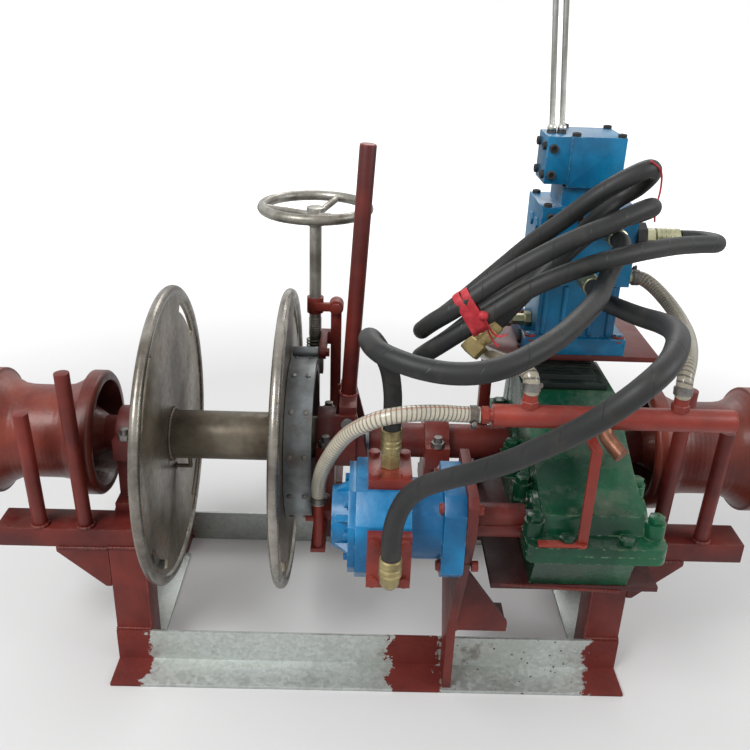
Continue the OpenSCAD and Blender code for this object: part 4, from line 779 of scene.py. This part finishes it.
skins = {
    splashed_zinc: {"base_angles": 0.8},
    galvanised: {"base_cross_angles": 0.8},
    red_oxide: {"corner_posts": 2, "rope_arms": 2, "side_rails": 1.5, "arm_gussets": 1,
        "guide_bars": 1, "motor_bracket": 1.2, "bearing_housings": 1.2, "main_shaft": 0.8,
        "brake_post": 1, "brake_nut_arm": 1, "clutch_fork": 1.2, "clutch_lever": 1,
        "shaft_coupling": 1, "valve_platform": 1},
    # Painted shade: the beam and the gearbox plate take the darker copy of the red.
    shade_painted_oxide: {"shaft_beam": 1.5, "gearbox_plate": 1},
    bolt_steel: {"bearing_bolts": 0.6, "shaft_collars": 0.6, "brake_swivel": 1,
        "clutch_pivot_pin": 0.8},
    turned_oxide: {"warping_head_left": 1.2, "warping_head_right": 1.2},
    gearbox_green: {"gearbox_lower_casing": 2, "gearbox_upper_casing": 2.2, "gearbox_bolts": 0.6},
    # Painted shade on the gearbox's top cover.
    shade_painted_cover_green: {"gearbox_top_cover": 1},
    drum_steel: {"drum_core": 0.6, "drum_flange_left": 0.8, "drum_flange_right": 0.8},
    brake_steel: {"brake_drum": 1},
    band_steel: {"brake_band": 0.5},
    lining_fibre: {"brake_lining": 0},
    spindle_steel: {"brake_spindle": 0.6},
    wheel_iron: {"handwheel": 0.8},
    gear_steel: {"clutch_sleeve": 0.8},
    motor_blue: {"motor_body": 1.4, "motor_end_cover": 1.4},
    bright_oxide: {"motor_bolts": 0.5, "port_plates": 0.8, "water_manifold": 1,
        "manifold_stays": 0.8, "water_nozzle": 0.8},
    valve_blue: {"valve_body": 2.5, "valve_head": 2},
    lever_steel: {"valve_lever_left": 0.3, "valve_lever_right": 0.3},
}
made = {}
for material, edges in skins.items():
    for node, edge in edges.items():
        made[node] = skin(node, material, edge)
print("skins:", len(made))

# %% [markdown]
# Inside the casings sit gears, bearings and bushes that hardly show. They keep
# their own solids and only take a metal finish. The rolled rims of the drum are
# rubbed bright by rope, so the faces near the rim take a second steel.

# %% Inner pieces and bright rims
inside = {"output_gear": gear_steel, "intermediate_gears": gear_steel, "input_pinion": gear_steel,
    "gearbox_bearings": gear_steel, "bearing_bushes": bronze, "drum_bushes": bronze}
for node, material in inside.items():
    solid = frame["nodes"][node]
    solid.data.materials.clear()
    solid.data.materials.append(material)
RIM_START = 0.1985
for node in ("drum_flange_left", "drum_flange_right"):
    piece = made[node]
    piece.data.materials.append(rim_steel)
    for face in piece.data.polygons:
        out = hypot(face.center.y - SHAFT_Y, face.center.z - SHAFT_Z)
        if out > RIM_START:
            face.material_index = 1
print("rims are bright")

# %% [markdown]
# ## Hose ends
# A steel sleeve is crimped on each end of a pressure hose, which leaves rings
# pressed into it, and a hexagon screws on to the port. The end at the front of
# the motor has a bent foot. Two barbs carry the water hoses at the valve.

# %% Ferrules, nuts and elbows
port_foot = spot(16, -282, 313)
bend = [port_foot + Vector((0, -0.004 * k, 0)) for k in range(7)]
for degrees in range(10, 91, 10):
    a = radians(degrees)
    bend.append(port_foot + Vector((0, -0.028 - 0.012 * sin(a), 0.012 - 0.012 * cos(a))))
bend += [bend[-1] + Vector((0, 0, 0.003 * k)) for k in range(1, 5)]
elbow_pipe = swept(bend, 0.0112, 24)


def crimp(at, full, slope=1):
    """One ring pressed 0.6 mm into a sleeve of radius full, from the distance at."""
    low = full - 0.6
    return [(at, full), (at + slope, low), (at + 3 * slope, low), (at + 4 * slope, full)]


elbow_nut = turned(port_foot, FRONT, [(0, 11), (0.6, 12.6), (11, 12.6), (12, 11)], 6)
front_ferrule = turned(spot(16, -322, 326), UP,
    [(0, 11.4), (1.5, 12.9), *crimp(4, 12.9), *crimp(11, 12.9), (22, 12.9), (24, 11.6)])
top_nut = turned(spot(16, -200, 395), UP,
    [(0, 10.4), (0.8, 12.4), (16, 12.4), (17, 10.4), (24, 10.2)], 6)
top_ferrule = turned(spot(16, -200, 416), UP,
    [(0, 10.8), (1.2, 12.6), *crimp(8, 12.6), *crimp(15, 12.6), (29, 12.6), (30, 11.4)])


def port_end(face, end, head_share=0.36):
    """A hexagon on a port and a crimped sleeve up to the hose's end."""
    run = (end - face) / MM
    reach = run.length
    foot = reach * head_share
    hexagon = turned(face, run, [(0, 11.5), (1, 13), (foot - 1, 13), (foot, 11.5)], 6)
    steps = [(foot - 0.5, 11), (foot + 1, 12.8)]
    ring = foot + 4
    while ring < reach - 5:
        steps += crimp(ring, 12.8, 0.8)
        ring += 6
    steps += [(reach - 1, 12.8), (reach, 11.3)]
    return joined([hexagon, turned(face, run, steps)])


front_port = port_end(spot(271, 0, 580), spot(271, -56, 580))
top_port = port_end(spot(298, 0, 640), spot(298, -44, 640))
right_port = port_end(spot(335, 14, 629), spot(395, 14, 629), 0.45)
barb_left = turned(spot(217, 45, 497), LEFT, [(0, 11), (1, 12), (9, 12), (10, 8.2), (27, 8)], 6)
barb_right = turned(spot(335, 14, 573), RIGHT, [(0, 8.2), (1, 8.4), (5, 8.2)], 24)
fittings = finished(joined([elbow_pipe, elbow_nut, front_ferrule, top_nut, top_ferrule]),
    "motor_hose_fittings", yellow_zinc, angle=30)
valve_fittings = finished(joined([front_port, top_port, right_port, barb_left, barb_right]),
    "valve_hose_fittings", pale_zinc, angle=30)
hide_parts("hose_fittings")
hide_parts("hose_fittings")
print("hose ends are on")

# %% [markdown]
# ## Welds
# The frame was welded before it was painted. A bead is a rope of small ripples,
# so it is a thin tube whose width rises and falls along its run.

# %% Lay the weld beads


def ripple(k):
    """The width of a bead at its step k, as a share of its full width."""
    return 0.86 + 0.16 * sin(k * 1.9)


def bead(a, b, s=1):
    """A straight bead between two places in millimetres; s is -1 on the left side."""
    a, b = (spot(s * x, behind, z) for x, behind, z in (a, b))
    count = max(6, int((b - a).length / 0.0016))
    path = [a.lerp(b, k / count) for k in range(count + 1)]
    radii = [2.6 * MM * (ripple(k) + 0.05 * sin(k * 0.7)) for k in range(count + 1)]
    return swept(path, radii, 8)


def ring_bead(middle, toward, across, wide):
    """A bead round a bar or pipe; across is the pipe's radius, in millimetres like wide."""
    toward = Vector(toward).normalized()
    one = toward.orthogonal().normalized()
    two = toward.cross(one)
    count = int(across * 2 * pi / 1.7)
    path = []
    for k in range(count + 1):
        a = 2 * pi * k / count
        path.append(middle + (one * cos(a) + two * sin(a)) * across * MM)
    return swept(path, [wide * MM * ripple(k) for k in range(count + 1)], 8)


both_sides = [((318, -111, 57), (368, -111, 57)), ((369, -104, 135), (369, -104, 197)),
    ((369, -111, 197), (436, -111, 197)), ((318, -61, 228.5), (368, -61, 228.5)),
    ((318, -111.5, 199), (368, -111.5, 199)), ((317.5, -110, 58), (317.5, -110, 196))]
one_side = [((107, -30.8, 170), (107, -30.8, 226)), ((119, -30.8, 170), (119, -30.8, 226)),
    ((119.5, -163, 122), (119.5, -163, 212)), ((119.5, -161, 111), (119.5, -118, 111)),
    ((-71, 29, 200), (-53, 29, 200)), ((-70, 118, 228.5), (-54, 118, 228.5)),
    ((161, -217, 235), (316, -217, 227.5))]
seams = []
for s in (-1, 1):
    seams += [bead(*ends, s) for ends in both_sides]
    seams += [ring_bead(spot(s * x, -100, 229.5), UP, 11.2, 3) for x in (461, 398)]
seams += [bead(*ends) for ends in one_side]
finished(joined(seams), "frame_weld_beads", red_oxide, angle=60)
seams = [ring_bead(spot(-290.4, 0, SHAFT_UP), RIGHT, 36.4, 3.2),
    ring_bead(spot(-129.6, 0, SHAFT_UP), RIGHT, 36.4, 3.2),
    ring_bead(spot(-290.6, 0, 268), RIGHT, 4.2, 1.4)]
finished(joined(seams), "drum_weld_beads", drum_steel, "drum", 60)
lever_root = ring_bead(spot(-39, 0, 394.5), (0.05, 0, 1), 12.2, 2.4)
finished(lever_root, "lever_weld_bead", bright_oxide, "clutch_arm", 60)
print("welds are laid")

# %% [markdown]
# ## The brake
# The band is riveted to its lining. A short spring on the spindle pushes the
# band open, and a coarse thread runs in the nut on the post. The handwheel is
# welded to the spindle, and the clutch lever beside it ends in a cap.

# %% Rivets, spring, thread, weld and bolt of the brake, and the lever's cap
BAND_OUT = 0.1158
SPINDLE_X = -94
SPINDLE_BEHIND = 126
heads = []
for degrees in range(75, 350, 30):
    a = radians(degrees)
    out = Vector((0, cos(a), sin(a)))
    for x in (-114, -94):
        heads.append((spot(x, 0, SHAFT_UP) + out * BAND_OUT, out))
finished(stamped(hex_screw(4.6, washer=False), heads), "band_rivets", bolt_steel)


def coil(low, high, across, wire, turns):
    """Wire wound round the spindle between two heights."""
    per_turn = 20
    count = per_turn * turns
    path = []
    for k in range(count + 1):
        a = 2 * pi * k / per_turn
        middle = spot(SPINDLE_X, SPINDLE_BEHIND, low + (high - low) * k / count)
        path.append(middle + Vector((cos(a), sin(a), 0)) * across * MM)
    return swept(path, wire * MM, 8)


finished(coil(406.5, 426, 12.2, 1.5, 4), "brake_spring", spindle_steel, "screw", 60)
finished(coil(430, 460, 8.9, 0.9, 10), "spindle_thread", spindle_steel, "screw", 60)
wheel_root = ring_bead(spot(SPINDLE_X, SPINDLE_BEHIND, 605), UP, 11.4, 2.6)
finished(wheel_root, "handwheel_weld_bead", wheel_iron, "screw", 60)
lever_way = Vector((0.0523, 0, 0.9986))
lever_cap = turned(spot(-39, 0, 394) + lever_way * 0.3455, lever_way,
    [(0, 10.6), (0.9, 11), (2.2, 10), (2.8, 7)])
finished(lever_cap, "clutch_lever_cap", bright_oxide, "clutch_arm")
post_bolt = stamped(hex_screw(9), [(spot(-62, 111, 481), FRONT)])
finished(post_bolt, "brake_post_bolt", red_oxide)
print("brake details are on")

# %% [markdown]
# ## Motor and gearbox
# Screws show how the castings come apart: socket screws round the motor's end
# cover, hexagons on the ports, bolts on the bearing caps of the gearbox.

# %% Screws and caps of the drive
MOTOR_BEHIND = -200
MIDDLE_BEHIND = -110
PORT_X = 16
GEARBOX_X = 261
COVER_TOP = 440
corners = [(-42, 0), (42, 0), (-30, 38), (30, 38), (-30, -38), (30, -38)]
places = [(spot(-34, MOTOR_BEHIND + dy, SHAFT_UP + dz), LEFT) for dy, dz in corners]
finished(stamped(socket_screw(7), places), "motor_cover_screws", motor_blue)
places = [(spot(80, MOTOR_BEHIND + dy, SHAFT_UP + dz), LEFT) for dy in (-41, 41)
    for dz in (-41, 41)]
finished(stamped(hex_screw(9), places), "motor_flange_screws", bright_oxide)
places = [(spot(PORT_X + dx, -282, 313 + dz), FRONT) for dx in (-19, 19) for dz in (-26, 26)]
places += [(spot(PORT_X + dx, MOTOR_BEHIND + dy, 395), UP) for dx in (-19, 19) for dy in (-26, 26)]
finished(stamped(hex_screw(7), places), "port_plate_screws", bright_oxide)
caps = []
for x, way in ((196.4, LEFT), (325.6, RIGHT)):
    for behind, across in ((0, 46), (MIDDLE_BEHIND, 34), (MOTOR_BEHIND, 34)):
        caps.append(turned(spot(x, behind, SHAFT_UP), way, [(0, across), (3.4, across),
            (4.6, across - 1.4), (5, across * 0.74), (3.6, across * 0.7)], 48))
finished(joined(caps), "gearbox_bearing_caps", gearbox_green, "frame", 30)
places = []
for x, way in ((191.6, LEFT), (330.4, RIGHT)):
    for behind, across in ((0, 40), (MIDDLE_BEHIND, 29), (MOTOR_BEHIND, 29)):
        for degrees in range(30, 360, 60):
            a = radians(degrees)
            places.append((spot(x, behind + across * cos(a), SHAFT_UP + across * sin(a)), way))
finished(stamped(hex_screw(4.6, washer=False), places), "bearing_cap_screws", bolt_steel)
# The cover's screws and breather share its painted shade.
places = [(spot(GEARBOX_X + dx, dy, COVER_TOP), UP) for dx in (-46, 46) for dy in (-40, 0, 40)]
finished(stamped(hex_screw(5), places), "top_cover_screws", shade_painted_cover_green)
breather = turned(spot(300, 28, COVER_TOP), UP, [(0, 7), (4, 7), (4.5, 5), (9, 5), (9.5, 9),
    (15, 9), (17, 6)], 24)
finished(breather, "gearbox_breather", shade_painted_cover_green, "frame", 30)
print("drive details are on")

# %% [markdown]
# ## Valve
# The valve is a stack of blocks held by socket screws. Plugs close the drilled
# ways on its left side, and rubber collars seal the two levers at the top. Four
# rounded ribs stiffen the front of the casting.

# %% Screws, plugs, collars and ribs of the valve
VALVE_X, VALVE_BEHIND = 271, 50
HEAD_TOP = 757
BODY_TOP = 667
places = [(spot(213, 4, z), FRONT) for z in (709, 742)]
places += [(spot(205, y, z), LEFT) for y in (14, 54) for z in (708, 744)]
places += [(spot(VALVE_X + dx, VALVE_BEHIND + dy, HEAD_TOP), UP) for dx in (-29, 29)
    for dy in (-38, 38)]
places += [(spot(VALVE_X + dx, VALVE_BEHIND + dy, BODY_TOP), UP) for dx in (-56, 56)
    for dy in (-42, 42)]
places += [(spot(VALVE_X + dx, 0, z), FRONT)
    for dx, z in ((-52, 575), (-52, 655), (52, 655), (-14, 655))]
finished(stamped(socket_screw(7.5), places), "valve_screws", black_iron)
places = [(spot(207, y, z), LEFT) for y, z in ((26, 640), (60, 640), (26, 606), (60, 586))]
finished(stamped(hex_screw(11), places), "valve_plugs", valve_blue)
port_block = turned(spot(335, 14, 629), RIGHT, [(0, 18), (1, 20), (13, 20), (14, 18)], 8)
finished(port_block, "valve_port_block", black_iron, "frame", 30)
side_plug = stamped(hex_screw(12), [(spot(201, 26, 478), LEFT)])
finished(side_plug, "valve_side_plug", black_iron)
places = [(spot(VALVE_X + dx, VALVE_BEHIND + dy, 489), UP) for dx in (-61, 61) for dy in (-47, 47)]
finished(stamped(hex_screw(10), places), "valve_base_bolts", bright_oxide)
rings = [(0, 6.2), (1.5, 6.2), (3, 5.6), (4, 6), (5.5, 5.2), (6, 4)]
collars = [turned(spot(x, 34, HEAD_TOP), UP, rings, 24) for x in (214, 227)]
finished(joined(collars), "lever_seals", black_iron)
ribs = [block(spot(x, 5, 526), (7, 8, 72), 2.6, 4) for x in (226, 252, 290, 316)]
finished(joined(ribs), "valve_ribs", valve_blue, "frame", 40)
print("valve details are on")

# %% [markdown]
# ## Water line
# The red pipe feeds three clear hoses. Each is pushed over a nipple and held
# by a worm clamp. A short copper stub points down for a tap, and the pipe's stay
# stands on a flat foot. Red thread tape seals the valve's upper front port.

# %% Clamps, nipples, the copper stub, the stay's foot and the tape


def clamp(middle, toward):
    """A band round a hose, with the small barrel of its worm screw beside it."""
    across = 10.4
    toward = Vector(toward).normalized()
    band = turned(middle - toward * 0.0045, toward,
        [(0, across), (0.3, across + 0.5), (8.7, across + 0.5), (9, across)])
    aside = toward.orthogonal().normalized()
    barrel_way = toward.cross(aside)
    barrel = turned(middle + aside * (across + 2.4) * MM - barrel_way * 0.006, barrel_way,
        [(0, 2.4), (1, 3.4), (9, 3.4), (10, 3), (10.2, 2.2), (13, 2.2)], 12)
    return joined([band, barrel])


LEANING = (0, 0.2, 1)
PIPE_BEHIND, PIPE_UP = -216, 475
clamps = [clamp(spot(109, PIPE_BEHIND, PIPE_UP), LEFT), clamp(spot(172, -215, 512), LEANING),
    clamp(spot(346, -215, 512), LEANING), clamp(spot(-74, -132, 301), UP),
    clamp(spot(184, 45, 497), RIGHT), clamp(spot(346, 14, 573), RIGHT)]
finished(joined(clamps), "hose_clamps", bolt_steel, "frame", 30)
side_nut = [(0, 9), (0.8, 10.4), (8, 10.4), (9, 9)]
top_nut = [(0, 9.4), (1, 10.6), (8, 10.6), (9, 9.4)]
nipples = [turned(spot(118, PIPE_BEHIND, PIPE_UP), RIGHT, side_nut, 6)]
nipples += [turned(spot(x, PIPE_BEHIND, 487), UP, top_nut, 6) for x in (172, 346)]
finished(joined(nipples), "water_nipples", bright_oxide, "frame", 30)
pipe_end = turned(spot(409, PIPE_BEHIND, PIPE_UP), RIGHT, [(0, 13.6), (1, 13.9), (2, 13.4)], 32)
finished(pipe_end, "water_pipe_end", bright_oxide, "frame", 30)
stub_run = [(262, -220, 464), (263, -225, 457), (270, -235, 449), (278, -246, 442)]
outer = swept(smooth_path(stub_run, 5), 0.009, 24)
lip = turned(spot(*stub_run[-1]), (0.51, -0.7, -0.45),
    [(-1.5, 9.6), (0, 9.8), (0.2, 8), (-6, 7.8)], 24)
finished(joined([outer, lip]), "copper_stub", copper, "frame", 40)
stay_foot = turned(spot(242, -267.5, 332), UP, [(0, 5.8), (0.4, 6.2), (3.6, 6.2), (4, 5.8)], 24)
strip = block(spot(216, -267, 334.1), (52, 10.5, 4.2), 0.8, 2)
finished(joined([strip, stay_foot]), "water_stay_foot", bright_oxide)
tape = turned(spot(300, -2, 640), FRONT, [(0, 13.4), (1, 13.9), (5, 13.7), (6, 13.2)], 24)
finished(tape, "thread_tape", red_tape, "frame", 40)
print("water line is on")

# %% [markdown]
# ## Floor and light
# The picture is cut out on white, so the floor is pale and fades to white away
# from the machine. The light is soft: a wide lamp stands above the front left,
# and weaker ones stand on the right and behind.

# %% Floor and lamps
clear()
bpy.ops.mesh.primitive_plane_add(size=60, location=(0, 12, -0.0005))
floor = bpy.context.object
floor.name = "floor"
applied()
pale = Finish("pale_floor")
seen = pale.node("LightPath", out="Is Camera Ray")
reach = pale.node("VectorMath", {"operation": "LENGTH"}, {0: pale.here}, out="Value")
pale.feed("Base Color", pale.blend(pale.noise(3) * 0.3, (218, 218, 218), (210, 210, 210)))
pale.feed("Roughness", 0.9)
pale.feed("Emission Color", (1, 1, 1, 1))
pale.feed("Emission Strength", seen * (0.02 + reach.above(1, 1.6) * 0.9))
floor.data.materials.append(pale.material)

world = bpy.data.worlds.new("white_room")
bpy.context.scene.world = world
world.use_nodes = True
paper = world.node_tree
sky = paper.nodes["Background"]
sky.inputs["Color"].default_value = (1, 1, 1, 1)
join = paper.links.new
rays = paper.nodes.new("ShaderNodeLightPath")
total = rays.outputs["Is Camera Ray"]
for kind in ("Is Glossy Ray", "Is Transmission Ray"):
    more = paper.nodes.new("ShaderNodeMath")
    more.operation = "MAXIMUM"
    join(total, more.inputs[0])
    join(rays.outputs[kind], more.inputs[1])
    total = more.outputs[0]
strength = paper.nodes.new("ShaderNodeMapRange")
join(total, strength.inputs["Value"])
strength.inputs["To Min"].default_value = 0.52
strength.inputs["To Max"].default_value = 1
join(strength.outputs["Result"], sky.inputs["Strength"])


def lamp(name, power, size, place, aim):
    light = bpy.data.lights.new(name, "AREA")
    light.energy, light.size = power, size
    holder = placed(name, light)
    holder.location = place
    holder.rotation_euler = (Vector(aim) - Vector(place)).to_track_quat("-Z", "Y").to_euler()


lamp("front_left_lamp", 72, 1.3, (-1.5, -1.6, 2.6), (0, 0, 0.3))
lamp("right_lamp", 20, 1, (2.2, -0.8, 1.6), (0, 0, 0.35))
lamp("rear_lamp", 18, 1.2, (0.4, 2.2, 2.2), (0, 0, 0.35))
bpy.context.scene.view_settings.view_transform = "Standard"
print("floor and lamps are set")
